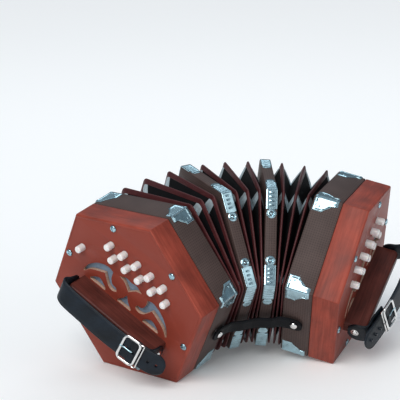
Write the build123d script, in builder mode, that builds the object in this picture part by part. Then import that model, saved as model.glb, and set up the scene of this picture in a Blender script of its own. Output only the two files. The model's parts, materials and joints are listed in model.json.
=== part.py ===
"""Twenty-key hexagonal concertina, standing open like a fan on its two wooden ends.

Millimetres and degrees. +Z is up, +X runs from the right-hand end to the left-hand end, and -Y is the
front, where the bellows are pinched shut by the closing strap. The origin is on the ground, under the
middle of the instrument's box.

Each end is drawn in its own frame, which starts at the seam between the wooden end and the casing: z points
outwards, y points at the upper front corner of the hexagon, and x runs along the rows of buttons.
"""

import os
from math import cos, radians, sin

from build123d import *

# ---- the hexagon and the depths of the ends ----
CORNER_RADIUS = 92.0  # middle of the hexagon to a corner
END_DEPTH = 26.0  # wooden end, seam to face
CASING_DEPTH = 28.0  # leatherette casing, seam to first fold
FRAME_DEPTH = 11.0  # each middle frame of the bellows
BORE_RADIUS = 66.0  # air way through the frames, middle to a corner

# ---- the bellows: three sections of three folds ----
FOLDS_PER_SECTION = 3
FOLD_PITCH = 3.2  # one fold, pressed flat
# opening of one fold, lean of its hinge line, distance of the hinge line from the middle
SECTIONS = [(9.0, 14.0, 90.0), (7.9, 16.0, 81.0), (7.4, 20.0, 82.0)]
PEAK_RADIUS = 90.5  # fold's outer edge, middle to a corner
VALLEY_RADIUS = 70.0  # fold's inner edge, middle to a corner
FOLD_GAP = 0.15  # each fold stops this far short of its neighbour's plane

# ---- wood and casing ----
FACE_THICKNESS = 3.5
END_WALL = 5.0
CASING_WALL = 6.0
LEDGE_THICKNESS = 3.0
EDGE_CHAMFER = 1.2
SEAM_CHAMFER = 0.5

# ---- screws of the ends, one in the middle of each side ----
BOLT_CIRCLE = 73.0
BOLT_RADIUS = 1.9
BOLT_HOLE_RADIUS = 2.05
BOLT_BLOCK_RADIUS = 5.6
BOLT_HEAD_RADIUS = 3.4
BOLT_HEAD_HEIGHT = 2.0
BOLT_REACH = 15.0  # into the casing's blocks

# ---- buttons ----
KEYS_PER_ROW = 5
ROW_PITCH = 16.5
UPPER_ROW_START = (-33.0, 47.0)
LOWER_ROW_START = (-25.0, 35.5)
ROW_SAG = 0.0022  # the rows curve down towards their ends
AIR_BUTTON_PLACE = (-61.5, 17.5)
BUTTON_RADIUS = 3.5
BUTTON_HEIGHT = 8.0  # above the face
BUTTON_PLAY = 0.35
PEG_RADIUS = 1.2
PEG_PLAY = 0.3
PEG_BOTTOM = 2.0
KEY_BODY_BOTTOM = 16.0
AIR_BODY_BOTTOM = 12.8

# ---- action, inside the wooden end ----
BOARD_THICKNESS = 6.0
LEVER_BOTTOM = 11.4
LEVER_THICKNESS = 1.2
LEVER_WIDTH = 1.8
PAD_RADIUS = 6.4
PAD_THICKNESS = 3.0
LONG_LEVER_PAD_Y = -50.0
SHORT_LEVER_PAD_Y = -33.0
LEVER_POST_Y = -8.0
AIR_LEVER_PIVOT_Y = 3.0
AIR_LEVER_PAD_Y = -15.0
AIR_LEVER_WIDTH = 6.4

# ---- reeds, inside the casing ----
PAN_TOP = -4.0
PAN_THICKNESS = 5.0
REED_BLOCK = (92.0, 12.0, 14.0)
REED_BLOCK_YS = (30.0, -30.0)
REED_PLATE = (15.0, 1.6, 11.0)
REEDS_PER_BLOCK = 5

# ---- hand rail and straps ----
RAIL_MIDDLE = (2.0, -17.0)
RAIL_LENGTH = 106.0
RAIL_THICKNESS = 12.0
RAIL_HEIGHT = 22.0
RAIL_CORNER = 5.0
STRAP_WIDTH = 22.0
STRAP_THICKNESS = 2.2
STRAP_SCREW_HEIGHT = 12.0
STRAP_GAP = 0.3
STRAP_BEND = 4.5
STRAP_LEFT = RAIL_MIDDLE[0] - RAIL_LENGTH / 2 - STRAP_GAP - STRAP_THICKNESS / 2
STRAP_RIGHT = RAIL_MIDDLE[0] + RAIL_LENGTH / 2 + STRAP_GAP + STRAP_THICKNESS / 2
BUCKLE_LENGTH = 21.0
BUCKLE_WIDTH = 27.6
BUCKLE_THICKNESS = 1.5
BUCKLE_BAR = 2.8
BUCKLE_CORNER = 4.5
BUCKLE_INNER_CORNER = 2.4
PRONG_WIDTH = 1.8
PRONG_THICKNESS = 1.1
# strap seen edge on, along the rail and above the face: the long piece, the short piece, the buckle's place
RIGHT_STRAP = (
    [(STRAP_LEFT, 5), (STRAP_LEFT, 17), (STRAP_LEFT - 6, 23), (STRAP_LEFT + 4, 31), (-22, 32), (14, 32),
     (52, 28.5), (73, 21)],
    [(STRAP_RIGHT, 5), (STRAP_RIGHT, 20), (STRAP_RIGHT - 4, 24.5), (38, 27.4)],
    37.0,
)
LEFT_STRAP = (
    [(STRAP_LEFT, 5), (STRAP_LEFT, 17), (STRAP_LEFT - 6.5, 26), (STRAP_LEFT + 3, 36.5), (-22, 38.5), (6, 37.5),
     (44, 32), (68, 26.5)],
    [(STRAP_RIGHT, 5), (STRAP_RIGHT, 20), (STRAP_RIGHT - 4, 25), (26, 31.2)],
    24.0,
)

# ---- closing strap ----
CLOSING_WIDTH = 15.0
CLOSING_THICKNESS = 2.0
STUD_DEPTH = 15.0  # from the seam

# ---- nickel fittings ----
PLATE_THICKNESS = 0.8
STUD_RADIUS = 3.6
STUD_NECK = 4.6

RIGHT, LEFT = 1, -1
CORNER_ANGLES = [30 + 60 * turn for turn in range(6)]
finished = []


def finish(piece, name):
    """Label a finished piece and keep it for the export."""
    piece.part.label = name
    finished.append(piece.part)


# ------------------------------------------------------------------------------------------------
# where everything stands
# ------------------------------------------------------------------------------------------------


def lay_out_bellows():
    """Chain the folds and frames, starting at the right-hand casing's inner plane.

    In each plane x points at the back corner of the hexagon, y is up and z runs on towards the left-hand
    end. A fold turns about a hinge line near the front corner that leans back at the top.
    """
    here = Location()
    folds, hinges, frames = [], [], []
    for section, (opening, lean, reach) in enumerate(SECTIONS):
        lean_cos, lean_sin = cos(radians(lean)), sin(radians(lean))
        hinge_foot = Pos(-reach * lean_cos, -reach * lean_sin, 0)
        hinge_turn = Location((0, 0, 0), (lean_sin, -lean_cos, 0), opening)
        for _ in range(FOLDS_PER_SECTION):
            start = here
            middle = start * Pos(0, 0, FOLD_PITCH / 2)
            half_turn = Location((0, 0, 0), (lean_sin, -lean_cos, 0), opening / 2)
            ridge = middle * hinge_foot * half_turn * hinge_foot.inverse()
            here = middle * hinge_foot * hinge_turn * hinge_foot.inverse() * Pos(0, 0, FOLD_PITCH / 2)
            folds.append((start, ridge, here))
            hinges.append((middle * hinge_foot, (lean_sin, -lean_cos, 0), opening))
        if section < len(SECTIONS) - 1:
            frames.append(here * Pos(0, 0, FRAME_DEPTH / 2))
            here = here * Pos(0, 0, FRAME_DEPTH)
    return folds, hinges, frames


def corner_place(plane_location, corner_angle, z):
    """A corner of the hexagon in a bellows plane, whose corners are at 0, 60, 120... degrees."""
    angle = radians(corner_angle)
    offset = Pos(CORNER_RADIUS * cos(angle), CORNER_RADIUS * sin(angle), z)
    return (plane_location * offset).position


def ground_under(first, last):
    """The plane through the lower corners of both faces, on which the instrument stands."""
    reach = CASING_DEPTH + END_DEPTH
    right_back, right_front = (corner_place(first, angle, -reach) for angle in (300, 240))
    left_back, left_front = (corner_place(last, angle, reach) for angle in (300, 240))
    centre = (right_back + right_front + left_back + left_front) * 0.25
    up = (left_front - right_back).cross(left_back - right_front).normalized()
    along = (left_front + left_back - right_front - right_back)
    along = (along - up * along.dot(up)).normalized()
    return Plane(origin=centre, x_dir=along, z_dir=up)


folds, hinges, frames = lay_out_bellows()
ground = ground_under(folds[0][0], folds[-1][2]).location.inverse()
folds = [tuple(ground * place for place in fold) for fold in folds]
hinges = [(ground * place, axis, opening) for place, axis, opening in hinges]
frames = [ground * place for place in frames]

# seam planes: z outwards, y at the upper front corner, x along the button rows
right_seam = Plane(folds[0][0] * Pos(0, 0, -CASING_DEPTH) * Rot(0, 180, 0) * Rot(0, 0, -30))
left_seam = Plane(folds[-1][2] * Pos(0, 0, CASING_DEPTH) * Rot(0, 0, 30))


# ------------------------------------------------------------------------------------------------
# outlines shared by several pieces
# ------------------------------------------------------------------------------------------------


def inset(depth):
    """Corner radius of the hexagon whose sides are this far inside the outer sides."""
    return CORNER_RADIUS - depth / cos(radians(30))


def button_places(hand):
    """Places of the ten keys of one end, upper row first."""
    places = []
    for start_x, start_y in (UPPER_ROW_START, LOWER_ROW_START):
        for key in range(KEYS_PER_ROW):
            x = start_x + ROW_PITCH * key
            places.append((hand * x, start_y - ROW_SAG * x * x))
    return places


def pad_places(hand):
    """Each key's pad lies straight below its button, in the far row or the near one."""
    places = button_places(hand)
    upper = [(x, LONG_LEVER_PAD_Y) for x, _ in places[:KEYS_PER_ROW]]
    lower = [(x, SHORT_LEVER_PAD_Y) for x, _ in places[KEYS_PER_ROW:]]
    return upper + lower


def bolt_places():
    """Six screws, one in the middle of each side."""
    return PolarLocations(BOLT_CIRCLE, 6)


def scroll_outline(side):
    """A crescent with a hooked foot, one of the two large openings of the fretwork."""
    tip = (side * 22.0, 17.5)
    foot = (side * 52.0, -6.5)
    hook = (side * 12.0, -1.0)
    Spline(tip, (side * 29.0, 19.0), (side * 40.0, 14.5), (side * 49.0, 5.0), (side * 53.0, -4.0), foot)
    Spline(foot, (side * 46.5, 0.5), (side * 38.0, 5.5), (side * 30.0, 9.5))
    Spline((side * 30.0, 9.5), (side * 26.0, 3.5), (side * 22.0, -1.5), (side * 16.5, -3.2), hook)
    Spline(hook, (side * 13.5, 2.6), (side * 18.5, 4.0), (side * 21.5, 9.0), tip)


def leaf_outline(side):
    """A low dome, one of the two leaves under the scrolls."""
    Line((side * 24.0, -9.5), (side * 43.0, -9.5))
    Spline((side * 43.0, -9.5), (side * 42.5, -6.5), (side * 33.5, -0.6), (side * 25.0, -6.0), (side * 24.0, -9.5))


def bird_outline():
    """The spread-wing opening between the rows and the middle drop."""
    Spline((-14.0, 19.0), (-7.0, 16.4), (0.0, 9.5))
    Spline((0.0, 9.5), (7.0, 16.4), (14.0, 19.0))
    Spline((14.0, 19.0), (6.5, 22.8), (0.0, 22.0))
    Spline((0.0, 22.0), (-6.5, 22.8), (-14.0, 19.0))


def drop_outline():
    """The small flared triangle in the middle."""
    Line((-8.5, -9.3), (8.5, -9.3))
    Spline((8.5, -9.3), (7.8, -6.6), (3.2, -1.5), (0.0, 5.0))
    Spline((0.0, 5.0), (-3.2, -1.5), (-7.8, -6.6), (-8.5, -9.3))


# ------------------------------------------------------------------------------------------------
# the wooden ends
# ------------------------------------------------------------------------------------------------


def make_end_cover(seam, hand, name):
    """Wooden box with a pierced face; screw blocks run down its walls."""
    floor_of_face = END_DEPTH - FACE_THICKNESS
    with BuildPart(seam) as cover:
        with BuildSketch(seam):
            RegularPolygon(CORNER_RADIUS, 6, rotation=30)
        extrude(amount=END_DEPTH)
        face_edges = cover.faces().sort_by(Axis(seam.origin, seam.z_dir))[-1].edges()
        chamfer(face_edges, EDGE_CHAMFER)
        with BuildSketch(seam):
            RegularPolygon(inset(END_WALL), 6, rotation=30)
            with bolt_places():
                Circle(BOLT_BLOCK_RADIUS, mode=Mode.SUBTRACT)
        extrude(amount=floor_of_face, mode=Mode.SUBTRACT)
        with BuildSketch(seam):
            with bolt_places():
                Circle(BOLT_HOLE_RADIUS)
            with Locations(*button_places(hand)):
                Circle(BUTTON_RADIUS + BUTTON_PLAY)
            if hand == RIGHT:
                with Locations(AIR_BUTTON_PLACE):
                    Circle(BUTTON_RADIUS + BUTTON_PLAY)
            for side in (1, -1):
                with BuildLine():
                    scroll_outline(side)
                make_face()
                with BuildLine():
                    leaf_outline(side)
                make_face()
            with BuildLine():
                bird_outline()
            make_face()
            with BuildLine():
                drop_outline()
            make_face()
        extrude(amount=END_DEPTH, mode=Mode.SUBTRACT)
    finish(cover, name)


def make_fret_cloth(seam, name):
    """Cloth glued behind the fretwork."""
    with BuildPart(seam) as cloth:
        with BuildSketch(seam.offset(END_DEPTH - FACE_THICKNESS - 0.6)):
            with Locations((0, 6.0)):
                RectangleRounded(116.0, 37.0, 4.0)
        extrude(amount=0.6)
    finish(cloth, name)


def make_end_screws(seam, hand, name):
    """Six long domed screws through the end, and the two screws of the hand strap."""
    rail_end = RAIL_LENGTH / 2
    with BuildPart(seam) as screws:
        with BuildSketch(seam.offset(-BOLT_REACH)):
            with bolt_places():
                Circle(BOLT_RADIUS)
        extrude(amount=BOLT_REACH + END_DEPTH)
        with BuildSketch(seam.offset(END_DEPTH)):
            with bolt_places():
                Circle(BOLT_HEAD_RADIUS)
        extrude(amount=BOLT_HEAD_HEIGHT, taper=30)
        for side in (1, -1):
            head_face = Plane(
                seam.from_local_coords(
                    (
                        hand * RAIL_MIDDLE[0] + side * (rail_end + STRAP_GAP + STRAP_THICKNESS),
                        RAIL_MIDDLE[1],
                        END_DEPTH + STRAP_SCREW_HEIGHT,
                    )
                ),
                x_dir=seam.y_dir,
                z_dir=seam.x_dir * side,
            )
            with BuildSketch(head_face):
                Circle(3.2)
            extrude(amount=1.6, taper=30)
            with BuildSketch(head_face):
                Circle(1.4)
            extrude(amount=-12.0)
    finish(screws, name)


def make_hand_rail(seam, hand, name):
    """Wooden bar for the palm, with its outer ends rounded and holes for the strap's screws."""
    middle = seam.from_local_coords((hand * RAIL_MIDDLE[0], RAIL_MIDDLE[1], END_DEPTH))
    front = Plane(middle, x_dir=seam.x_dir, z_dir=-seam.y_dir)
    with BuildPart(front) as rail:
        with BuildSketch(front):
            with Locations((0, RAIL_HEIGHT / 2)):
                Rectangle(RAIL_LENGTH, RAIL_HEIGHT)
        extrude(amount=RAIL_THICKNESS / 2, both=True)
        across = Axis(middle, seam.y_dir)
        upright = rail.edges().filter_by(across).group_by(Axis(middle, seam.z_dir))[-1]
        fillet(upright, RAIL_CORNER)
        top_edges = rail.faces().sort_by(Axis(middle, seam.z_dir))[-1].edges()
        fillet(top_edges.filter_by(Axis(middle, seam.x_dir)), 2.5)
        for side in (1, -1):
            end_face = Plane(
                front.from_local_coords((side * RAIL_LENGTH / 2, STRAP_SCREW_HEIGHT, 0)),
                x_dir=seam.y_dir,
                z_dir=seam.x_dir * side,
            )
            with BuildSketch(end_face):
                Circle(1.5)
            extrude(amount=-12.0, mode=Mode.SUBTRACT)
    finish(rail, name)


def rail_view(seam):
    """A view of the rail from below it: x along the rail, y away from the face."""
    middle = seam.from_local_coords((0, RAIL_MIDDLE[1], END_DEPTH))
    return Plane(middle, x_dir=seam.x_dir, z_dir=-seam.y_dir)


def make_hand_strap(seam, hand, shape, name):
    """Leather strap from one end of the rail to the other, over the hand: the long piece with its loose
    tail, and the short piece that carries the buckle."""
    view = rail_view(seam)
    long_piece, short_piece, _ = shape
    with BuildPart(view) as strap:
        for points in (long_piece, short_piece):
            with BuildSketch(view):
                with BuildLine():
                    FilletPolyline(*[(hand * x, height) for x, height in points], radius=STRAP_BEND)
                trace(line_width=STRAP_THICKNESS)
            extrude(amount=STRAP_WIDTH / 2, both=True)
        screw_line = Plane(view.from_local_coords((0, STRAP_SCREW_HEIGHT, 0)), x_dir=seam.y_dir, z_dir=seam.x_dir)
        with BuildSketch(screw_line):
            Circle(1.8)
        extrude(amount=RAIL_LENGTH, both=True, mode=Mode.SUBTRACT)
    finish(strap, name)


def make_strap_buckle(seam, hand, shape, name):
    """Rectangular nickel frame lying on the long piece, and its prong."""
    long_piece, _, place = shape
    (x1, y1), (x2, y2) = next(run for run in zip(long_piece[4:], long_piece[5:]) if run[0][0] < place < run[1][0])
    view = rail_view(seam)
    height = y1 + (y2 - y1) * (place - x1) / (x2 - x1)
    along = (view.x_dir * hand * (x2 - x1) + view.y_dir * (y2 - y1)).normalized()
    outwards = along.cross(view.z_dir) * -hand
    middle = view.from_local_coords((hand * place, height, 0)) + outwards * (STRAP_THICKNESS / 2 + STRAP_GAP)
    frame_plane = Plane(middle, x_dir=along, z_dir=outwards)
    with BuildPart(frame_plane) as buckle:
        with BuildSketch(frame_plane):
            RectangleRounded(BUCKLE_LENGTH, BUCKLE_WIDTH, BUCKLE_CORNER)
            inside = (BUCKLE_LENGTH - 2 * BUCKLE_BAR, BUCKLE_WIDTH - 2 * BUCKLE_BAR)
            RectangleRounded(*inside, BUCKLE_INNER_CORNER, mode=Mode.SUBTRACT)
        extrude(amount=BUCKLE_THICKNESS)
        with BuildSketch(frame_plane.offset(BUCKLE_THICKNESS + 0.05)):
            Rectangle(BUCKLE_LENGTH - 2.0, PRONG_WIDTH)
        extrude(amount=PRONG_THICKNESS)
    finish(buckle, name)


# ------------------------------------------------------------------------------------------------
# the casings
# ------------------------------------------------------------------------------------------------


def make_casing(seam, name):
    """Hexagonal frame that the bellows are glued to, with tapped blocks for the end screws."""
    block_bottom = -BOLT_REACH - 3.0
    with BuildPart(seam) as casing:
        with BuildSketch(seam.offset(-CASING_DEPTH)):
            RegularPolygon(CORNER_RADIUS, 6, rotation=30)
        extrude(amount=CASING_DEPTH)
        seam_edges = casing.faces().sort_by(Axis(seam.origin, seam.z_dir))[-1].edges()
        chamfer(seam_edges, SEAM_CHAMFER)
        with BuildSketch(seam.offset(-CASING_DEPTH)):
            RegularPolygon(BORE_RADIUS, 6, rotation=30)
        extrude(amount=CASING_DEPTH, mode=Mode.SUBTRACT)
        with BuildSketch(seam.offset(block_bottom)):
            RegularPolygon(inset(CASING_WALL), 6, rotation=30)
            with bolt_places():
                Circle(BOLT_BLOCK_RADIUS, mode=Mode.SUBTRACT)
        extrude(amount=-block_bottom, mode=Mode.SUBTRACT)
        with BuildSketch(seam.offset(LEDGE_THICKNESS - CASING_DEPTH)):
            RegularPolygon(inset(CASING_WALL), 6, rotation=30)
        extrude(amount=block_bottom + CASING_DEPTH - LEDGE_THICKNESS, mode=Mode.SUBTRACT)
        with BuildSketch(seam):
            with bolt_places():
                Circle(BOLT_HOLE_RADIUS)
        extrude(amount=-BOLT_REACH - 1.0, mode=Mode.SUBTRACT)
    finish(casing, name)


def corner_view(plane, angle, z):
    """A view straight at one corner: x along the hexagon's rim, y along the plane's normal."""
    place = plane.from_local_coords((CORNER_RADIUS * cos(radians(angle)), CORNER_RADIUS * sin(radians(angle)), z))
    outwards = plane.x_dir * cos(radians(angle)) + plane.y_dir * sin(radians(angle))
    rim = plane.z_dir.cross(outwards)
    return Plane(place, x_dir=rim, z_dir=outwards)


def make_casing_fittings(seam, hand, name):
    """Six stepped nickel corner plates with their tacks, and the stud of the closing strap."""
    shrink = cos(radians(30))
    wide, narrow = 13.8 * shrink, 5.8 * shrink
    inner, shoulder, neck, outer = -26.3, -16.5, -9.0, -3.4
    with BuildPart(seam) as plates:
        for angle in CORNER_ANGLES:
            with BuildSketch(corner_view(seam, angle, 0)):
                for side in (1, -1):
                    with BuildLine():
                        Polyline((0, outer), (0, inner), (side * wide, inner), (side * wide, shoulder))
                        Spline(
                            (side * wide, shoulder),
                            (side * (wide + narrow) / 2, (shoulder + neck) / 2),
                            (side * narrow, neck),
                            tangents=((0, 1), (0, 1)),
                        )
                        Polyline((side * narrow, neck), (side * narrow, outer), (0, outer))
                    make_face()
            extrude(amount=10, both=True)
        with BuildSketch(seam.offset(-CASING_DEPTH)):
            RegularPolygon(CORNER_RADIUS + PLATE_THICKNESS / shrink, 6, rotation=30)
            RegularPolygon(CORNER_RADIUS, 6, rotation=30, mode=Mode.SUBTRACT)
        extrude(amount=CASING_DEPTH, mode=Mode.INTERSECT)
        stud_face = stud_plane(seam, hand)
        with BuildSketch(stud_face):
            Circle(2.0)
        extrude(amount=STUD_NECK)
        with BuildSketch(stud_face.offset(STUD_NECK)):
            Circle(STUD_RADIUS)
        extrude(amount=1.8, taper=25)
    finish(plates, name)


def stud_plane(seam, hand):
    """The casing's lower front side at the closing strap's stud; z points away from the side."""
    outwards = seam.x_dir * hand
    place = seam.origin + outwards * CORNER_RADIUS * cos(radians(30)) - seam.z_dir * STUD_DEPTH
    return Plane(place, x_dir=seam.z_dir, z_dir=outwards)


# ------------------------------------------------------------------------------------------------
# inside the ends
# ------------------------------------------------------------------------------------------------


def make_action_board(seam, hand, name):
    """Board under the levers, with a hole under each pad and a guide hole under each button."""
    with BuildPart(seam) as board:
        with BuildSketch(seam):
            RegularPolygon(inset(END_WALL + 0.3), 6, rotation=30)
            with bolt_places():
                Circle(BOLT_BLOCK_RADIUS + 0.4, mode=Mode.SUBTRACT)
            with Locations(*pad_places(hand)):
                Circle(PAD_RADIUS - 2.0, mode=Mode.SUBTRACT)
            with Locations(*button_places(hand)):
                Circle(PEG_RADIUS + PEG_PLAY, mode=Mode.SUBTRACT)
            if hand == RIGHT:
                with Locations((AIR_BUTTON_PLACE[0], AIR_LEVER_PAD_Y)):
                    Circle(PAD_RADIUS - 2.0, mode=Mode.SUBTRACT)
                with Locations(AIR_BUTTON_PLACE):
                    Circle(PEG_RADIUS + PEG_PLAY, mode=Mode.SUBTRACT)
        extrude(amount=BOARD_THICKNESS)
    finish(board, name)


def make_key_levers(seam, hand, name):
    """Ten levers on their posts, each from under its button to the pad that it lifts."""
    pads = pad_places(hand)
    with BuildPart(seam) as levers:
        for (x, button_y), (_, pad_y) in zip(button_places(hand), pads):
            far_end = pad_y - 2.0
            near_end = button_y - PEG_RADIUS - 0.6
            with BuildSketch(seam.offset(LEVER_BOTTOM)):
                with Locations((x, (far_end + near_end) / 2)):
                    Rectangle(LEVER_WIDTH, near_end - far_end)
            extrude(amount=LEVER_THICKNESS)
            with BuildSketch(seam.offset(BOARD_THICKNESS)):
                with Locations((x, LEVER_POST_Y)):
                    Rectangle(LEVER_WIDTH, 4.0)
            extrude(amount=LEVER_BOTTOM - BOARD_THICKNESS)
        with BuildSketch(seam.offset(BOARD_THICKNESS)):
            with Locations(*pads):
                Circle(PAD_RADIUS)
        extrude(amount=PAD_THICKNESS)
        with BuildSketch(seam.offset(BOARD_THICKNESS + PAD_THICKNESS)):
            with Locations(*pads):
                Circle(2.0)
        extrude(amount=LEVER_BOTTOM - BOARD_THICKNESS - PAD_THICKNESS)
        if hand == RIGHT:
            with BuildSketch(seam.offset(BOARD_THICKNESS)):
                with Locations((AIR_BUTTON_PLACE[0], AIR_LEVER_PIVOT_Y)):
                    Rectangle(6.0, 2.0)
            extrude(amount=LEVER_BOTTOM - BOARD_THICKNESS - 0.45)
    finish(levers, name)


def make_air_lever(seam, name):
    """Lever of the air valve, which rocks on its pivot when the air button goes down."""
    x, button_y = AIR_BUTTON_PLACE
    far_end, near_end = AIR_LEVER_PAD_Y - 3.5, button_y + 3.5
    with BuildPart(seam) as lever:
        with BuildSketch(seam.offset(LEVER_BOTTOM)):
            with Locations((x, (far_end + near_end) / 2)):
                Rectangle(AIR_LEVER_WIDTH, near_end - far_end)
            with Locations((x, button_y)):
                Circle(PEG_RADIUS + 0.9, mode=Mode.SUBTRACT)
        extrude(amount=LEVER_THICKNESS)
        with BuildSketch(seam.offset(BOARD_THICKNESS + 0.05)):
            with Locations((x, AIR_LEVER_PAD_Y)):
                Circle(PAD_RADIUS)
        extrude(amount=PAD_THICKNESS)
        with BuildSketch(seam.offset(BOARD_THICKNESS + PAD_THICKNESS)):
            with Locations((x, AIR_LEVER_PAD_Y)):
                Circle(2.0)
        extrude(amount=LEVER_BOTTOM - BOARD_THICKNESS - PAD_THICKNESS)
    finish(lever, name)


def make_button(seam, place, body_bottom, name):
    """Button with a rounded top, standing on the guide peg that slides in the action board."""
    top = END_DEPTH + BUTTON_HEIGHT
    with BuildPart(seam) as button:
        with BuildSketch(seam.offset(body_bottom)):
            with Locations(place):
                Circle(BUTTON_RADIUS)
        extrude(amount=top - body_bottom)
        crown = button.faces().sort_by(Axis(seam.origin, seam.z_dir))[-1].edges()
        fillet(crown, 1.2)
        with BuildSketch(seam.offset(PEG_BOTTOM)):
            with Locations(place):
                Circle(PEG_RADIUS)
        extrude(amount=body_bottom - PEG_BOTTOM)
    finish(button, name)


def make_reed_pan(seam, name):
    """Pan that carries the two reed blocks, with a slot over each reed chamber."""
    block_length, block_width, block_depth = REED_BLOCK
    pan_bottom = PAN_TOP - PAN_THICKNESS
    chamber_pitch = block_length / REEDS_PER_BLOCK
    with BuildPart(seam) as pan:
        with BuildSketch(seam.offset(pan_bottom)):
            RegularPolygon(inset(CASING_WALL + 0.4), 6, rotation=30)
            with bolt_places():
                Circle(BOLT_BLOCK_RADIUS + 0.5, mode=Mode.SUBTRACT)
        extrude(amount=PAN_THICKNESS)
        for block_y in REED_BLOCK_YS:
            with BuildSketch(seam.offset(pan_bottom)):
                with Locations((0, block_y)):
                    Rectangle(block_length, block_width)
            extrude(amount=-block_depth)
            with BuildSketch(seam.offset(PAN_TOP)):
                with Locations((0, block_y)):
                    with GridLocations(chamber_pitch, 1, REEDS_PER_BLOCK, 1):
                        Rectangle(chamber_pitch - 5.0, block_width - 5.0)
            extrude(amount=-block_depth - PAN_THICKNESS + 2.0, mode=Mode.SUBTRACT)
            with BuildSketch(Plane(seam.from_local_coords((0, block_y, pan_bottom - block_depth / 2)),
                                   x_dir=seam.x_dir, z_dir=seam.y_dir)):
                with GridLocations(chamber_pitch, 1, REEDS_PER_BLOCK, 1):
                    Rectangle(7.0, 7.0)
            extrude(amount=block_width, both=True, mode=Mode.SUBTRACT)
    finish(pan, name)


def make_reed_plates(seam, name):
    """Reed plates on both long faces of each block, each with its two tongues' slots."""
    block_length, block_width, block_depth = REED_BLOCK
    width, thickness, height = REED_PLATE
    chamber_pitch = block_length / REEDS_PER_BLOCK
    middle_z = PAN_TOP - PAN_THICKNESS - block_depth / 2
    with BuildPart(seam) as plates:
        for block_y in REED_BLOCK_YS:
            for side in (1, -1):
                face_y = block_y + side * block_width / 2
                face = Plane(seam.from_local_coords((0, face_y, middle_z)), x_dir=seam.x_dir, z_dir=seam.y_dir * side)
                with BuildSketch(face):
                    with GridLocations(chamber_pitch, 1, REEDS_PER_BLOCK, 1):
                        Rectangle(width, height)
                        with GridLocations(5.0, 1, 2, 1):
                            Rectangle(2.4, height - 4.0, mode=Mode.SUBTRACT)
                extrude(amount=thickness)
    finish(plates, name)


# ------------------------------------------------------------------------------------------------
# the bellows
# ------------------------------------------------------------------------------------------------


def make_fold(start, ridge, end, name):
    """One fold of the bellows: a ridge all round, from the valley at one plane to the next valley."""
    near = Plane(start * Pos(0, 0, FOLD_GAP))
    top = Plane(ridge)
    far = Plane(end * Pos(0, 0, -FOLD_GAP))
    hole_depth = 3.0
    with BuildPart() as fold:
        for plane, radius in ((near, VALLEY_RADIUS), (top, PEAK_RADIUS), (far, VALLEY_RADIUS)):
            with BuildSketch(plane):
                RegularPolygon(radius, 6)
        loft(ruled=True)
        for plane in (Plane(start * Pos(0, 0, -1.0)), Plane(end * Pos(0, 0, 1.0))):
            with BuildSketch(plane):
                RegularPolygon(VALLEY_RADIUS - hole_depth, 6)
        loft(ruled=True, mode=Mode.SUBTRACT)
    finish(fold, name)


def make_middle_frame(place, name):
    """Flat hexagonal frame between two sections of the bellows."""
    plane = Plane(place * Pos(0, 0, -FRAME_DEPTH / 2))
    with BuildPart(plane) as frame:
        with BuildSketch(plane):
            RegularPolygon(CORNER_RADIUS, 6)
            RegularPolygon(BORE_RADIUS, 6, mode=Mode.SUBTRACT)
        extrude(amount=FRAME_DEPTH)
        rims = [frame.faces().sort_by(Axis(plane.origin, plane.z_dir))[end].outer_wire().edges() for end in (0, -1)]
        chamfer(rims[0] + rims[1], 0.6)
    finish(frame, name)


def make_corner_straps(place, name):
    """Six nickel straps bent round the frame's corners, each with rounded riveted ends."""
    plane = Plane(place)
    shrink = cos(radians(30))
    half_width = FRAME_DEPTH / 2 - 0.3
    leg = 19.5 * shrink
    nose = 4.6
    with BuildPart(plane) as straps:
        for angle in range(0, 360, 60):
            with BuildSketch(corner_view(plane, angle, 0)):
                Rectangle(2 * leg, 2 * half_width)
                for side in (1, -1):
                    with Locations((side * (leg + 4.0), 0)):
                        Circle(nose)
                    with Locations((side * (leg + 1.5), 0)):
                        Rectangle(5.0, nose * 1.2)
            extrude(amount=14, both=True)
        with BuildSketch(plane.offset(-FRAME_DEPTH / 2)):
            RegularPolygon(CORNER_RADIUS + PLATE_THICKNESS / shrink, 6)
            RegularPolygon(CORNER_RADIUS, 6, mode=Mode.SUBTRACT)
        extrude(amount=FRAME_DEPTH, mode=Mode.INTERSECT)
    finish(straps, name)


def front_station(place, z, rise):
    """Section plane of the closing strap: beside the middle of a plane's lower front side, z along the
    strap, x along the side and y away from it."""
    plane = Plane(place)
    side_angle = radians(210)
    outwards = plane.x_dir * cos(side_angle) + plane.y_dir * sin(side_angle)
    apothem = CORNER_RADIUS * cos(radians(30))
    middle = plane.origin + outwards * (apothem + rise) + plane.z_dir * z
    return Plane(middle, x_dir=outwards.cross(plane.z_dir), z_dir=plane.z_dir)


def closing_strap_stations():
    """Where the strap's sections stand, from its end on the right casing to its end on the left one."""
    low = 2.2 + CLOSING_THICKNESS / 2
    right_inner, left_inner = folds[0][0], folds[-1][2]
    tip = CASING_DEPTH - STUD_DEPTH + 8.0
    return [
        front_station(right_inner, -tip, low),
        front_station(right_inner, -4.0, low),
        front_station(frames[0], 0, low + 5.0),
        front_station(frames[1], 0, low + 5.0),
        front_station(left_inner, 4.0, low),
        front_station(left_inner, tip, low),
    ]


def make_closing_strap(name):
    """Leather strap buttoned over the studs of both casings, arching past the pinched front."""
    with BuildPart() as strap:
        for station in closing_strap_stations():
            with BuildSketch(station):
                Rectangle(CLOSING_WIDTH, CLOSING_THICKNESS)
        loft(ruled=True)
        for seam, hand in ((right_seam, RIGHT), (left_seam, LEFT)):
            with BuildSketch(stud_plane(seam, hand)):
                Circle(2.5)
            extrude(amount=STUD_NECK + 2.0, mode=Mode.SUBTRACT)
    finish(strap, name)


# ------------------------------------------------------------------------------------------------
# assembly
# ------------------------------------------------------------------------------------------------


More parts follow.
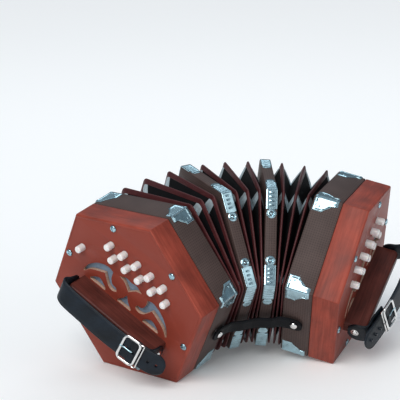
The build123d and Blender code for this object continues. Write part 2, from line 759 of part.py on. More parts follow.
def make_end(seam, hand, strap_shape, side):
    """Everything from the casing outwards on one side of the bellows."""
    make_end_cover(seam, hand, side + "_end_cover")
    make_fret_cloth(seam, side + "_fret_cloth")
    make_end_screws(seam, hand, side + "_end_screws")
    make_hand_rail(seam, hand, side + "_hand_rail")
    make_hand_strap(seam, hand, strap_shape, side + "_hand_strap")
    make_strap_buckle(seam, hand, strap_shape, side + "_strap_buckle")
    make_casing(seam, side + "_casing")
    make_casing_fittings(seam, hand, side + "_casing_fittings")
    make_action_board(seam, hand, side + "_action_board")
    make_key_levers(seam, hand, side + "_key_levers")
    make_reed_pan(seam, side + "_reed_pan")
    make_reed_plates(seam, side + "_reed_plates")
    for number, place in enumerate(button_places(hand), start=1):
        make_button(seam, place, KEY_BODY_BOTTOM, f"{side}_button_{number}")


make_end(right_seam, RIGHT, RIGHT_STRAP, "right")
make_button(right_seam, AIR_BUTTON_PLACE, AIR_BODY_BOTTOM, "right_air_button")
make_air_lever(right_seam, "right_air_lever")
make_end(left_seam, LEFT, LEFT_STRAP, "left")
for number, (start, ridge, end) in enumerate(folds, start=1):
    make_fold(start, ridge, end, f"bellows_fold_{number}")
for number, place in enumerate(frames, start=1):
    make_middle_frame(place, f"middle_frame_{number}")
    make_corner_straps(place, f"middle_frame_{number}_corner_straps")
make_closing_strap("closing_strap")

# move the origin under the middle of the whole instrument's box
boxes = [piece.bounding_box() for piece in finished]
box_middle_x = (min(box.min.X for box in boxes) + max(box.max.X for box in boxes)) / 2
box_middle_y = (min(box.min.Y for box in boxes) + max(box.max.Y for box in boxes)) / 2
box_bottom = min(box.min.Z for box in boxes)
centring = Pos(-box_middle_x, -box_middle_y, -box_bottom)

if __name__ == "__main__":
    os.makedirs("parts", exist_ok=True)
    for piece in finished:
        label = piece.label
        placed = piece.moved(centring)
        placed.label = label
        export_step(placed, f"parts/{label}.step")
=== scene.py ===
"""Looks of the twenty-key concertina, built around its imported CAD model.

Everything ends up in metres in the row's frame. Pieces are drawn in millimetres in a local frame, and that
frame's matrix carries them over. Each wooden end has a frame that starts at its seam with the casing: z
outwards, y towards the upper front corner, x along the rows of buttons (mirrored on the left-hand end). Each
plane of the bellows has a frame with x towards the back corner, y up and z towards the left-hand end.
"""

import json
import math

import bmesh
import bpy
from mathutils import Matrix, Vector


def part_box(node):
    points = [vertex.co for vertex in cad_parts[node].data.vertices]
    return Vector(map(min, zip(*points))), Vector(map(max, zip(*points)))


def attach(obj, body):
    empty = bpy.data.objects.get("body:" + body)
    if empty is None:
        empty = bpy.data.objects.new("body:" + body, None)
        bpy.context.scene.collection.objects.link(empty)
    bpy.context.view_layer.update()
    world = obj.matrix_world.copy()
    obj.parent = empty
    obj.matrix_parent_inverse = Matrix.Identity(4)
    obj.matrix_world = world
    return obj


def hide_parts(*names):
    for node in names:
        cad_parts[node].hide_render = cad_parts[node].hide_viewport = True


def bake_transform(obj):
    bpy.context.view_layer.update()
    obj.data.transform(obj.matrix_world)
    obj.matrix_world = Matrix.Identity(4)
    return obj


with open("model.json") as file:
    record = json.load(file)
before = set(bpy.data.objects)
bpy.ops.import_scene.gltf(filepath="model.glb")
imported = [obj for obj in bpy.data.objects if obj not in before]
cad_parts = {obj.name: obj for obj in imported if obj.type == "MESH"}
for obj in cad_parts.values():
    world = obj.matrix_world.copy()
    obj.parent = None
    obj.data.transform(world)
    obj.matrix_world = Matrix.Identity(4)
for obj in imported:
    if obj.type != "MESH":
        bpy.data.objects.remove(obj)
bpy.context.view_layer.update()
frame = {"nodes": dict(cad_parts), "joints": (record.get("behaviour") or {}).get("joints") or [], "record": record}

# ---- sizes shared with the CAD model, in millimetres ----
MM = 0.001
CORNER_RADIUS = 92.0
END_DEPTH = 26.0
FACE_THICKNESS = 3.5
END_WALL = 5.0
CASING_DEPTH = 28.0
CASING_WALL = 6.0
FRAME_DEPTH = 11.0
BORE_RADIUS = 66.0
FOLD_PITCH = 3.2
PEAK_RADIUS = 90.5
VALLEY_RADIUS = 70.0
BOLT_CIRCLE = 73.0
RAIL_MIDDLE = (2.0, -17.0)
RAIL_SIZE = (106.0, 12.0, 22.0)
STRAP_WIDTH = 22.0
STRAP_THICKNESS = 2.2
STRAP_END = RAIL_SIZE[0] / 2 + 0.3 + STRAP_THICKNESS / 2
STRAP_SCREW_HEIGHT = 12.0
CLOSING_WIDTH = 15.0
CLOSING_THICKNESS = 2.0
STUD_DEPTH = 15.0
COS30 = math.cos(math.radians(30))
APOTHEM = CORNER_RADIUS * COS30
FOLDS = 9
FRAME_AFTER = {3: 1, 6: 2}

SIDES = (("right", 1), ("left", -1))
joints = {j["name"]: j for j in frame["joints"]}


# ---- local frames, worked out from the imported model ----


def local_matrix(origin, x_dir, y_dir, z_dir):
    """Carries millimetres in a local frame to metres in the row's frame."""
    matrix = Matrix((x_dir, y_dir, z_dir)).transposed().to_4x4() @ Matrix.Scale(MM, 4)
    matrix.translation = origin
    return matrix


def put_in_scene(name, data):
    thing = bpy.data.objects.new(name, data)
    bpy.context.scene.collection.objects.link(thing)
    return thing


def shift(x, y, z):
    return Matrix.Translation((x, y, z))


def facing(way):
    """Turns the z axis to face a way."""
    return way.to_track_quat("Z", "Y").to_matrix().to_4x4()


def spin(degrees, axis):
    return Matrix.Rotation(math.radians(degrees), 4, axis)


def local_box(node, matrix):
    """Lowest and highest corners of a CAD node in a local frame."""
    back = matrix.inverted()
    points = [back @ v.co for v in frame["nodes"][node].data.vertices]
    low = Vector([min(p[i] for p in points) for i in range(3)])
    high = Vector([max(p[i] for p in points) for i in range(3)])
    return low, high


def seam_frame(side, hand):
    z_dir = -Vector(joints[f"{side}_button_1_travel"]["axis"]).normalized()
    ends = [sum(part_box(f"{side}_button_{n}"), Vector()) / 2 for n in (1, 5)]
    x_dir = ((ends[1] - ends[0]) * hand).normalized()
    tilted = local_matrix(Vector(), x_dir, z_dir.cross(x_dir), z_dir)
    low, high = local_box(f"{side}_end_cover", tilted)
    origin = tilted @ Vector(((low.x + high.x) / 2, (low.y + high.y) / 2, low.z))
    return local_matrix(origin, x_dir, z_dir.cross(x_dir), z_dir)


def lay_out_bellows(right_seam):
    """Planes before, at the ridge of, and after each fold, and the middle plane of each middle frame."""
    ratios = {c["joint"]: c["ratio"] for c in frame["record"]["behaviour"]["couplings"]}
    first_opening = -joints["bellows_fold_1_opening"]["range_deg"][0]
    here = right_seam @ spin(30, "Z") @ spin(180, "Y") @ shift(0, 0, CASING_DEPTH)
    folds, frames = [], {}
    for number in range(1, FOLDS + 1):
        joint = joints[f"bellows_fold_{number}_opening"]
        opening = first_opening * ratios.get(joint["name"], 1.0)
        to_hinge = Matrix.Translation(joint["pos_m"])
        axis = Vector(joint["axis"])
        turns = [
            to_hinge @ Matrix.Rotation(math.radians(angle), 4, axis) @ to_hinge.inverted()
            for angle in (opening / 2, opening)
        ]
        ridge = turns[0] @ here @ shift(0, 0, FOLD_PITCH / 2)
        after = turns[1] @ here @ shift(0, 0, FOLD_PITCH)
        folds.append((here, ridge, after))
        here = after
        if number in FRAME_AFTER:
            frames[FRAME_AFTER[number]] = here @ shift(0, 0, FRAME_DEPTH / 2)
            here = here @ shift(0, 0, FRAME_DEPTH)
    return folds, frames


seams = {side: seam_frame(side, hand) for side, hand in SIDES}
layouts = {side: seams[side] @ Matrix.Diagonal((hand, 1, 1, 1)) for side, hand in SIDES}
folds, frames = lay_out_bellows(seams["right"])
chain = ["right_end"] + [joints[f"bellows_fold_{n}_opening"]["child"] for n in range(1, FOLDS + 1)]


# ---- materials ----


class Nodes:
    """A short way to write the nodes of a material, or of a world."""

    def __init__(self, name, blocks=bpy.data.materials):
        self.block = blocks.new(name)
        self.block.use_nodes = True
        self.tree = self.block.node_tree
        self.shader = self.tree.nodes.get("Principled BSDF")

    def feed(self, value, target):
        """Gives an input a number, a colour or another node's output."""
        if isinstance(value, (int, float)):
            target.default_value = value
        elif isinstance(value, tuple):
            target.default_value = (*value, 1)
        elif value is not None:
            self.tree.links.new(value, target)

    def add(self, kind, **settings):
        node = self.tree.nodes.new(kind)
        for key, value in settings.items():
            setattr(node, key, value)
        return node

    def coordinates(self, output, scale=(1, 1, 1)):
        """UV coordinates are millimetres along and across a surface; Object coordinates are metres."""
        source = self.add("ShaderNodeTexCoord").outputs[output]
        mapping = self.add("ShaderNodeMapping")
        mapping.inputs["Scale"].default_value = scale
        self.feed(source, mapping.inputs["Vector"])
        return mapping.outputs["Vector"]

    def noise(self, vector, scale, detail=3.0, distortion=0.0):
        node = self.add("ShaderNodeTexNoise")
        node.inputs["Scale"].default_value = scale
        node.inputs["Detail"].default_value = detail
        node.inputs["Distortion"].default_value = distortion
        self.feed(vector, node.inputs["Vector"])
        return node.outputs["Fac"]

    def ramp(self, factor, *stops):
        node = self.add("ShaderNodeValToRGB")
        elements = node.color_ramp.elements
        while len(elements) < len(stops):
            elements.new(0.5)
        for element, (place, colour) in zip(elements, stops):
            element.position = place
            element.color = (*colour, 1)
        self.feed(factor, node.inputs["Fac"])
        return node.outputs["Color"]

    def greys(self, factor, start, dark, end, light):
        return self.ramp(factor, (start, grey(dark)), (end, grey(light)))

    def waves(self, half_wave):
        """Ripples across and along the UV surface, from -1 to 1; half a wave is given in millimetres."""
        separate = self.add("ShaderNodeSeparateXYZ")
        self.feed(self.coordinates("UV"), separate.inputs[0])
        turn = math.pi / half_wave
        return [self.math("SINE", self.math("MULTIPLY", separate.outputs[i], turn)) for i in (0, 1)]

    def mix(self, factor, first, second, kind="MIX"):
        node = self.add("ShaderNodeMix", data_type="RGBA", blend_type=kind)
        for value, place in ((factor, 0), (first, 6), (second, 7)):
            self.feed(value, node.inputs[place])
        return node.outputs[2]

    def shade(self, amount, colour, factor, *greys):
        return self.mix(amount, colour, self.greys(factor, *greys), "MULTIPLY")

    def math(self, kind, *values):
        node = self.add("ShaderNodeMath", operation=kind)
        for place, value in enumerate(values):
            self.feed(value, node.inputs[place])
        return node.outputs[0]

    def bump(self, height, distance, strength=1.0, after=None):
        node = self.add("ShaderNodeBump")
        node.inputs["Distance"].default_value = distance * MM
        node.inputs["Strength"].default_value = strength
        self.feed(height, node.inputs["Height"])
        self.feed(after, node.inputs["Normal"])
        return node.outputs["Normal"]

    def finish(self, colour, roughness=None, normal=None, **values):
        self.feed(colour, self.shader.inputs["Base Color"])
        self.feed(roughness, self.shader.inputs["Roughness"])
        self.feed(normal, self.shader.inputs["Normal"])
        for key, value in values.items():
            self.shader.inputs[key.replace("_", " ")].default_value = value
        return self.block


def grey(value):
    return (value, value, value)


def wood(name, dark, middle, light, output="UV", unit=1.0, gloss=0.42):
    """Polished wood with its grain along U (or X): streaks, pores and a slow mottle."""
    n = Nodes(name)
    streaks = n.noise(n.coordinates(output, (0.02 * unit, 0.42 * unit, 0.42 * unit)), 1.0, 6.0, 0.6)
    mottle = n.noise(n.coordinates(output, (0.035 * unit, 0.065 * unit, 0.06 * unit)), 1.0, 3.0, 0.5)
    pores = n.noise(n.coordinates(output, (0.16 * unit, 3.2 * unit, 3.2 * unit)), 1.0, 2.0)
    colour = n.ramp(streaks, (0.25, dark), (0.52, middle), (0.78, light))
    colour = n.shade(1.0, colour, mottle, 0.32, 0.72, 0.68, 1.18)
    colour = n.shade(0.75, colour, pores, 0.3, 0.62, 0.42, 1.0)
    roughness = n.greys(mottle, 0.3, gloss, 0.7, gloss + 0.14)
    normal = n.bump(pores, 0.05, 0.35)
    normal = n.bump(streaks, 0.25, 0.25, normal)
    return n.finish(colour, roughness, normal, Specular_IOR_Level=0.22, Coat_Weight=0.05, Coat_Roughness=0.3)


def cut_edge(name):
    """Pale edge of the sawn plywood of the fretwork, its plies one over another."""
    n = Nodes(name)
    plies = n.noise(n.coordinates("Object", (900, 900, 900)), 1.0, 2.0)
    grime = n.noise(n.coordinates("Object", (160, 160, 160)), 1.0, 3.0)
    colour = n.ramp(plies, (0.3, (0.36, 0.21, 0.15)), (0.7, (0.58, 0.38, 0.28)))
    colour = n.shade(0.5, colour, grime, 0.3, 0.7, 0.6, 1.0)
    return n.finish(colour, None, n.bump(plies, 0.1, 0.5), Roughness=0.7)


def leatherette(name):
    """Brown bookbinder's covering, embossed with a fine woven grid."""
    n = Nodes(name)
    across, along = n.waves(1.15)
    weave = n.math("MULTIPLY_ADD", n.math("ADD", across, along), 0.25, 0.5)
    grain = n.noise(n.coordinates("UV", (1, 1, 1)), 2.4, 4.0)
    wear = n.noise(n.coordinates("UV", (1, 1, 1)), 0.045, 3.0)
    colour = n.ramp(weave, (0.12, (0.045, 0.029, 0.026)), (0.5, (0.077, 0.051, 0.046)))
    colour = n.shade(1.0, colour, grain, 0.3, 0.8, 0.7, 1.15)
    colour = n.shade(1.0, colour, wear, 0.3, 0.86, 0.7, 1.12)
    roughness = n.greys(grain, 0.3, 0.46, 0.7, 0.62)
    normal = n.bump(weave, 0.12, 0.6)
    normal = n.bump(grain, 0.08, 0.5, normal)
    return n.finish(colour, roughness, normal, Specular_IOR_Level=0.2)


def metal(name, colour, roughness, tarnish=0.1, metallic=1.0):
    """Plated metal: fine scratches one way, and slightly duller where hands don't polish it."""
    n = Nodes(name)
    scratches = n.noise(n.coordinates("Object", (2600, 260, 900)), 1.0, 3.0)
    stain = n.noise(n.coordinates("Object", (120, 120, 120)), 1.0, 3.0)
    darker = tuple(c * (1 - 3 * tarnish) for c in colour)
    tint = n.ramp(stain, (0.35, darker), (0.6, colour))
    rough = n.greys(stain, 0.3, roughness + tarnish, 0.65, roughness)
    return n.finish(tint, rough, n.bump(scratches, 0.012, 0.12), Metallic=metallic)


def leather(name, dark, light, roughness, grain_size, gloss=0.3):
    """Leather with a cell-like grain and slow creases."""
    n = Nodes(name)
    vector = n.coordinates("UV")
    cells = n.add("ShaderNodeTexVoronoi", feature="DISTANCE_TO_EDGE")
    cells.inputs["Scale"].default_value = 1 / grain_size
    n.feed(vector, cells.inputs["Vector"])
    edges = n.greys(cells.outputs["Distance"], 0.0, 0.0, 0.16, 1.0)
    creases = n.noise(vector, 0.16, 4.0, 0.8)
    wear = n.noise(vector, 0.05, 3.0)
    colour = n.ramp(wear, (0.32, dark), (0.7, light))
    colour = n.mix(0.35, colour, edges, "MULTIPLY")
    rough = n.greys(wear, 0.3, roughness, 0.7, roughness + 0.12)
    normal = n.bump(edges, 0.05, 0.5)
    normal = n.bump(creases, 0.3, 0.4, normal)
    return n.finish(colour, rough, normal, Specular_IOR_Level=gloss)


def woven(name, warp, weft, pitch):
    """Plain weave: threads over and under one another at the cloth's real pitch, in millimetres."""
    n = Nodes(name)
    across, along = n.waves(pitch)
    over = n.math("MULTIPLY_ADD", n.math("MULTIPLY", across, along), 0.5, 0.5)
    slub = n.noise(n.coordinates("UV", (0.3, 2.5, 1)), 1.0, 3.0)
    colour = n.mix(over, warp, weft)
    colour = n.shade(1.0, colour, slub, 0.3, 0.75, 0.7, 1.2)
    return n.finish(colour, None, n.bump(over, 0.15, 0.8), Roughness=0.6, Sheen_Weight=0.4)


def bone(name):
    """Turned, polished bone: off-white with faint streaks along the button."""
    n = Nodes(name)
    streaks = n.noise(n.coordinates("Object", (420, 420, 420)), 1.0, 4.0)
    stain = n.noise(n.coordinates("Object", (60, 60, 60)), 1.0, 2.0)
    colour = n.ramp(streaks, (0.3, (0.76, 0.70, 0.68)), (0.6, (0.84, 0.80, 0.79)))
    colour = n.mix(0.4, colour, n.ramp(stain, (0.3, (0.95, 0.89, 0.86)), (0.7, grey(1.0))), "MULTIPLY")
    return n.finish(colour, None, n.bump(streaks, 0.03, 0.3), Roughness=0.32, Coat_Weight=0.3,
                    Coat_Roughness=0.12, Subsurface_Weight=0.08)


MAHOGANY = wood("mahogany", (0.195, 0.031, 0.018), (0.276, 0.047, 0.028), (0.345, 0.068, 0.041))
# The rail's mahogany is a darker, duller copy of the face's: painted shade for the shadow the rail sits in between
# the face and the strap.
MAHOGANY_RAIL_PAINTED_SHADE = wood("mahogany_rail_painted_shade", (0.066, 0.016, 0.012), (0.108, 0.026, 0.019), (0.150, 0.038, 0.028))
FRET_EDGE = cut_edge("fretwork_cut_edge")
ACTION_WOOD = wood(
    "action_wood", (0.42, 0.28, 0.15), (0.56, 0.40, 0.24), (0.66, 0.50, 0.33), "Object", 1000, 0.5
)
LEATHERETTE = leatherette("leatherette")
# The nickel's teal tint is painted reflection: bluish surroundings put into the colour of plain nickel.
NICKEL_PAINTED_TEAL_REFLECTION = metal("nickel_plate_painted_teal_reflection", (0.42, 0.60, 0.67), 0.16)
BRIGHT_NICKEL = metal("buckle_nickel", (0.80, 0.80, 0.79), 0.15, 0.05)
BRASS = metal("lever_brass", (0.72, 0.50, 0.20), 0.3)
REED_BRASS = metal("reed_plate_brass", (0.70, 0.53, 0.25), 0.35)
# The strap leather's blue tint is painted sheen: a bluish reflection put into the black leather's colour.
STRAP_LEATHER_PAINTED_BLUE_SHEEN = leather("strap_leather", (0.003, 0.005, 0.008), (0.008, 0.015, 0.025), 0.36, 0.9, 0.26)
CLOSING_LEATHER = leather(
    "closing_strap_leather", (0.003, 0.003, 0.004), (0.007, 0.008, 0.011), 0.40, 0.9, 0.1
)
CARD = leather("bellows_card", (0.0035, 0.0035, 0.0045), (0.008, 0.008, 0.009), 0.72, 1.3, 0.12)
BINDING = leather("burgundy_binding", (0.058, 0.0105, 0.012), (0.096, 0.0205, 0.022), 0.42, 0.7)
GUSSET = metal("silver_gusset_leather", (0.58, 0.67, 0.71), 0.38, 0.1, 0.55)
FRET_CLOTH = woven("fret_cloth", (0.10, 0.15, 0.22), (0.20, 0.27, 0.36), 0.8)
BUTTON_BONE = bone("button_bone")


# ---- mesh tools ----


BOARD_STEP = 137.0  # along the grain from one side's piece of wood to the next one's


def polar(angle):
    return Vector((math.cos(angle), math.sin(angle), 0))


def quarter_turn(vector):
    return Vector((-vector.y, vector.x, 0))


def flat_uv(point, normal):
    return point.x, point.y


def unroll(first_angle):
    """Unrolls the side of the hexagon that a point belongs to, each side a fresh board; the sides of a seam
    frame face 0, 60, 120... degrees, and those of a bellows plane 30, 90, 150..."""

    def uv_of(point, normal):
        turn = round((math.degrees(math.atan2(normal.y, normal.x)) - first_angle) / 60)
        outwards = polar(math.radians(60 * turn + first_angle))
        return point.dot(quarter_turn(outwards)) + BOARD_STEP * turn, point.z - point.dot(outwards)

    return uv_of


side_uv = unroll(0)
plane_uv = unroll(30)


def write_uv(mesh, uv_of):
    """UV coordinates in millimetres of the local frame, face by face."""
    layer = mesh.uv_layers.new(name="UVMap")
    for polygon in mesh.polygons:
        middle = polygon.center
        normal = middle if abs(polygon.normal.z) > 0.5 else polygon.normal
        for loop in polygon.loop_indices:
            point = mesh.vertices[mesh.loops[loop].vertex_index].co
            layer.data[loop].uv = uv_of(point, normal)


def make_piece(name, bm, matrix, materials, body=None, stands_for=(), uv_of=flat_uv, sharp=35):
    """Turns a bmesh in a local frame into a piece in the row's frame, riding on a body."""
    bmesh.ops.remove_doubles(bm, verts=bm.verts, dist=1e-4)
    mesh = mesh_of(bm)
    mesh.name = name
    if not mesh.uv_layers:
        write_uv(mesh, uv_of)
    mesh.transform(matrix)
    if matrix.determinant() < 0:
        mesh.flip_normals()
    mesh.polygons.foreach_set("use_smooth", [True] * len(mesh.polygons))
    mesh.set_sharp_from_angle(angle=math.radians(sharp))
    for material in materials:
        mesh.materials.append(material)
    piece = put_in_scene(name, mesh)
    if body:
        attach(piece, body)
    if stands_for:
        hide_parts(*stands_for)
    return piece


def end_piece(side, name, bm, materials, stands_for=None, **how):
    """A piece that rides on one of the wooden ends."""
    nodes = [f"{side}_{stands_for}"] if stands_for else []
    return make_piece(f"{side}_{name}", bm, layouts[side], materials, f"{side}_end", nodes, **how)


def loft(bm, rings, close_rings=True, close_loft=False, caps=False, material_of=None):
    """Quads between rings of equal length."""
    rows = [[bm.verts.new(p) for p in ring] for ring in rings]
    count = len(rows[0])
    pairs = list(zip(rows, rows[1:])) + ([(rows[-1], rows[0])] if close_loft else [])
    for row, (low, high) in enumerate(pairs):
        for i in range(count if close_rings else count - 1):
            j = (i + 1) % count
            face = bm.faces.new((low[i], low[j], high[j], high[i]))
            if material_of:
                face.material_index = material_of(row, i)
    if caps:
        for ring in (rows[0], rows[-1]):
            bm.faces.new(ring)
    return rows


def lathe(bm, profile, matrix, steps=32):
    """Revolves (radius, height) points about the local z axis; radius 0 closes an end."""
    angles = [2 * math.pi * i / steps for i in range(steps)]
    rings = []
    for radius, height in profile:
        rings.append([matrix @ Vector((radius * math.cos(a), radius * math.sin(a), height)) for a in angles])
    loft(bm, rings, caps=True)


def hexagon_ring(radius, rounding, z, first_angle, steps=5):
    """A hexagon whose corners are rounded, as one ring of points."""
    points = []
    for corner in range(6):
        angle = math.radians(first_angle + 60 * corner)
        reach = radius - rounding / COS30
        centre = Vector((reach * math.cos(angle), reach * math.sin(angle), z))
        for step in range(steps):
            points.append(centre + rounding * polar(angle + math.radians(60 * (step / (steps - 1) - 0.5))))
    return points


def hexagon_profile(bm, profile, first_angle, rounding=1.4):
    """A closed ring swept round the hexagon: profile points are (depth in from the outer side, z)."""
    rings = []
    for depth, z in profile:
        rings.append(hexagon_ring(CORNER_RADIUS - depth / COS30, max(rounding - depth, 0.3), z, first_angle))
    loft(bm, rings, close_loft=True)


def smooth_run(points, steps=7):
    """Points along a smooth curve through the given ones."""
    ends = [points[0] * 2 - points[1]] + list(points) + [points[-1] * 2 - points[-2]]
    run = []
    for a, b, c, d in zip(ends, ends[1:], ends[2:], ends[3:]):
        for i in range(steps):
            t = i / steps
            bend = (2 * a - 5 * b + 4 * c - d) * t**2 + (3 * b - a - 3 * c + d) * t**3
            run.append(0.5 * ((2 * b) + (c - a) * t + bend))
    return run + [points[-1]]


def rounded_path(points, rounds=3):
    """Cuts the corners of an open path until it bends softly."""
    for _ in range(rounds):
        cut = [points[0]]
        for a, b in zip(points, points[1:]):
            cut += [a.lerp(b, 0.25), a.lerp(b, 0.75)]
        points = cut + [points[-1]]
    return points


def evenly_spaced(points, gap):
    """The same path, with points about this far apart."""
    lengths = [0.0]
    for a, b in zip(points, points[1:]):
        lengths.append(lengths[-1] + (b - a).length)
    count = max(2, round(lengths[-1] / gap))
    result, segment = [], 0
    for i in range(count + 1):
        wanted = lengths[-1] * i / count
        while segment < len(lengths) - 2 and lengths[segment + 1] < wanted:
            segment += 1
        span = max(lengths[segment + 1] - lengths[segment], 1e-9)
        result.append(points[segment].lerp(points[segment + 1], (wanted - lengths[segment]) / span))
    return result


def plate_mesh(outlines, low, high, bevel):
    """A flat plate between two heights from closed outlines, the first outside, with rounded edges."""
    curve = bpy.data.curves.new("plate", "CURVE")
    curve.dimensions = "2D"
    curve.fill_mode = "BOTH"
    curve.extrude = (high - low) / 2 - bevel
    curve.bevel_depth = bevel
    curve.bevel_resolution = 2
    curve.offset = -bevel
    for outline in outlines:
        spline = curve.splines.new("POLY")
        spline.points.add(len(outline) - 1)
        for point, place in zip(spline.points, outline):
            point.co = (place[0], place[1], 0, 1)
        spline.use_cyclic_u = True
    holder = bpy.data.objects.new("plate", curve)
    mesh = bpy.data.meshes.new_from_object(holder)
    bpy.data.objects.remove(holder)
    bpy.data.curves.remove(curve)
    mesh.transform(shift(0, 0, (low + high) / 2))
    return mesh


def subtract(mesh, cutter):
    """Mesh less cutter, both in one local frame."""
    holders = [put_in_scene("body", mesh), put_in_scene("cutter", cutter)]
    modifier = holders[0].modifiers.new("cut", "BOOLEAN")
    modifier.operation = "DIFFERENCE"
    modifier.solver = "EXACT"
    modifier.object = holders[1]
    graph = bpy.context.evaluated_depsgraph_get()
    result = bpy.data.meshes.new_from_object(holders[0].evaluated_get(graph))
    for holder in holders:
        bpy.data.objects.remove(holder)
    return result


def add_block(bm, size, middle):
    bmesh.ops.create_cube(bm, size=1.0)
    bmesh.ops.scale(bm, vec=size, verts=bm.verts)
    bmesh.ops.translate(bm, vec=middle, verts=bm.verts)


def bm_of(mesh):
    bm = bmesh.new()
    bm.from_mesh(mesh)
    return bm


def mesh_of(bm):
    bmesh.ops.recalc_face_normals(bm, faces=bm.faces)
    mesh = bpy.data.meshes.new("mesh")
    bm.to_mesh(mesh)
    bm.free()
    return mesh


def circle(x, y, radius, steps=28):
    angles = [2 * math.pi * i / steps for i in range(steps)]
    return [Vector((x + radius * math.cos(a), y + radius * math.sin(a))) for a in angles]


def around(radius, first_angle):
    """Six places round a circle."""
    angles = [math.radians(first_angle + 60 * i) for i in range(6)]
    return [Vector((radius * math.cos(a), radius * math.sin(a), 0)) for a in angles]


# ---- the wooden ends ----


def outline(side, *runs):
    """A closed outline from smooth runs that meet in corners; side mirrors it."""
    points = []
    for run in runs:
        points += smooth_run([Vector((side * x, y)) for x, y in run])[:-1]
    return points


def fretwork():
    holes = []
    for side in (1, -1):
        tip, foot, hook = (22.0, 17.5), (52.0, -6.5), (12.0, -1.0)
        holes.append(outline(
            side,
            [tip, (29.0, 19.0), (40.0, 14.5), (49.0, 5.0), (53.0, -4.0), foot],
            [foot, (46.5, 0.5), (38.0, 5.5), (30.0, 9.5)],
            [(30.0, 9.5), (26.0, 3.5), (22.0, -1.5), (16.5, -3.2), hook],
            [hook, (13.5, 2.6), (18.5, 4.0), (21.5, 9.0), tip],
        ))
        holes.append(outline(
            side,
            [(24.0, -9.5), (43.0, -9.5)],
            [(43.0, -9.5), (42.5, -6.5), (33.5, -0.6), (25.0, -6.0), (24.0, -9.5)],
        ))
    holes.append(outline(
        1,
        [(-14.0, 19.0), (-7.0, 16.4), (0.0, 9.5)],
        [(0.0, 9.5), (7.0, 16.4), (14.0, 19.0)],
        [(14.0, 19.0), (6.5, 22.8), (0.0, 22.0), (-6.5, 22.8), (-14.0, 19.0)],
    ))
    holes.append(outline(
        1,
        [(-8.5, -9.3), (8.5, -9.3)],
        [(8.5, -9.3), (7.8, -6.6), (3.2, -1.5), (0.0, 5.0)],
        [(0.0, 5.0), (-3.2, -1.5), (-7.8, -6.6), (-8.5, -9.3)],
    ))
    return holes


BUTTON_HOLE = 3.85
BOLT_HOLE = 2.1
BOLT_BOSS = 5.6
FACE_INSET = 2.9  # the face panel lies inside a narrow wooden rim
FACE_BEVEL = 0.08
FACE_BOTTOM = END_DEPTH - FACE_THICKNESS
FRETWORK_REACH = 70.0  # no sawn edge lies further out


def make_end_box(side, buttons):
    """The pierced panel and the six mitred boards round it."""
    panel_radius = CORNER_RADIUS - (FACE_INSET + 0.03) / COS30
    outlines = [[p.to_2d() for p in hexagon_ring(panel_radius, 0.6, 0, 30)]]
    outlines += fretwork()
    outlines += [circle(x, y, BUTTON_HOLE) for x, y in buttons]
    outlines += [circle(p.x, p.y, BOLT_HOLE) for p in around(BOLT_CIRCLE, 0)]
    bm = bm_of(plate_mesh(outlines, FACE_BOTTOM, END_DEPTH, FACE_BEVEL))
    for face in bm.faces:
        middle = face.calc_center_median()
        inside = middle.to_2d().length < FRETWORK_REACH
        face.material_index = 1 if inside and abs(face.normal.z) < 0.6 else 0
    end_piece(side, "end_face", bm, [MAHOGANY, FRET_EDGE])
    bm = bmesh.new()
    hexagon_profile(bm, [
        (1.2, 0.0), (1.05, 0.28), (0.25, 0.42), (0.0, 0.8), (0.0, END_DEPTH - 1.6), (0.12, END_DEPTH - 1.15),
        (0.45, END_DEPTH - 0.6), (0.95, END_DEPTH - 0.18), (1.4, END_DEPTH),
        (FACE_INSET - FACE_BEVEL, END_DEPTH), (FACE_INSET, END_DEPTH - FACE_BEVEL),
        (FACE_INSET, FACE_BOTTOM), (END_WALL, FACE_BOTTOM), (END_WALL, 0.0),
    ], 30)
    for place in around(BOLT_CIRCLE, 0):
        lathe(bm, [(BOLT_BOSS, 0.1), (BOLT_BOSS, FACE_BOTTOM)], Matrix.Translation(place), 24)
    end_piece(side, "end_boards", bm, [MAHOGANY], "end_cover", uv_of=side_uv, sharp=50)


CLOTH_SIZE = (116.0, 37.0)
CLOTH_MIDDLE = 6.0
CLOTH_THICKNESS = 0.45
CLOTH_SAG = 0.12


def make_fret_cloth(side):
    """Cloth glued behind the fretwork, pushed a little into the openings by the air."""
    width, height = CLOTH_SIZE
    columns, rows = 58, 18
    bm = bmesh.new()
    layers = []
    for thickness in (0.0, CLOTH_THICKNESS):
        rings = []
        for row in range(rows + 1):
            y = CLOTH_MIDDLE + height * (row / rows - 0.5)
            ring = []
            for column in range(columns + 1):
                x = width * (column / columns - 0.5)
                sag = CLOTH_SAG * (1 + math.sin(x * 0.31) * math.cos(y * 0.42))
                ring.append(Vector((x, y, FACE_BOTTOM - 0.1 - thickness - sag)))
            rings.append(ring)
        layers.append(loft(bm, rings, close_rings=False))
    front, back = layers
    for a, b in ((front[0], back[0]), (front[-1], back[-1])):
        for i in range(columns):
            bm.faces.new((a[i], a[i + 1], b[i + 1], b[i]))
    for edge in (0, -1):
        for i in range(rows):
            bm.faces.new((front[i][edge], front[i + 1][edge], back[i + 1][edge], back[i][edge]))
    cloth = end_piece(side, "cloth", bm, [FRET_CLOTH], "fret_cloth")


def slotted_head(radius, height, slot_width):
    """A domed screw head with its slot, standing on z = 0."""
    bm = bmesh.new()
    rim = 0.22 * height
    profile = [(radius * 0.96, -0.2), (radius, 0.0), (radius, rim)]
    for i in range(1, 9):
        a = math.radians(90 * i / 8.5)
        profile.append((radius * math.cos(a), rim + (height - rim) * math.sin(a)))
    lathe(bm, profile, Matrix.Identity(4), 40)
    head = mesh_of(bm)
    bm = bmesh.new()
    depth = height * 0.42
    add_block(bm, (3 * radius, slot_width, 2 * depth), (0, 0, height))
    return subtract(head, mesh_of(bm))


BOLT_HEAD = slotted_head(3.4, 2.0, 0.9)
BOLT_SHANK = 1.9
STRAP_SCREW_HEAD = slotted_head(3.1, 1.7, 0.7)
STRAP_SCREW_SHANK = 1.4
STRAP_WASHER = [(4.0, -0.05), (4.0, 0.25), (3.7, 0.4), (3.0, 0.4)]


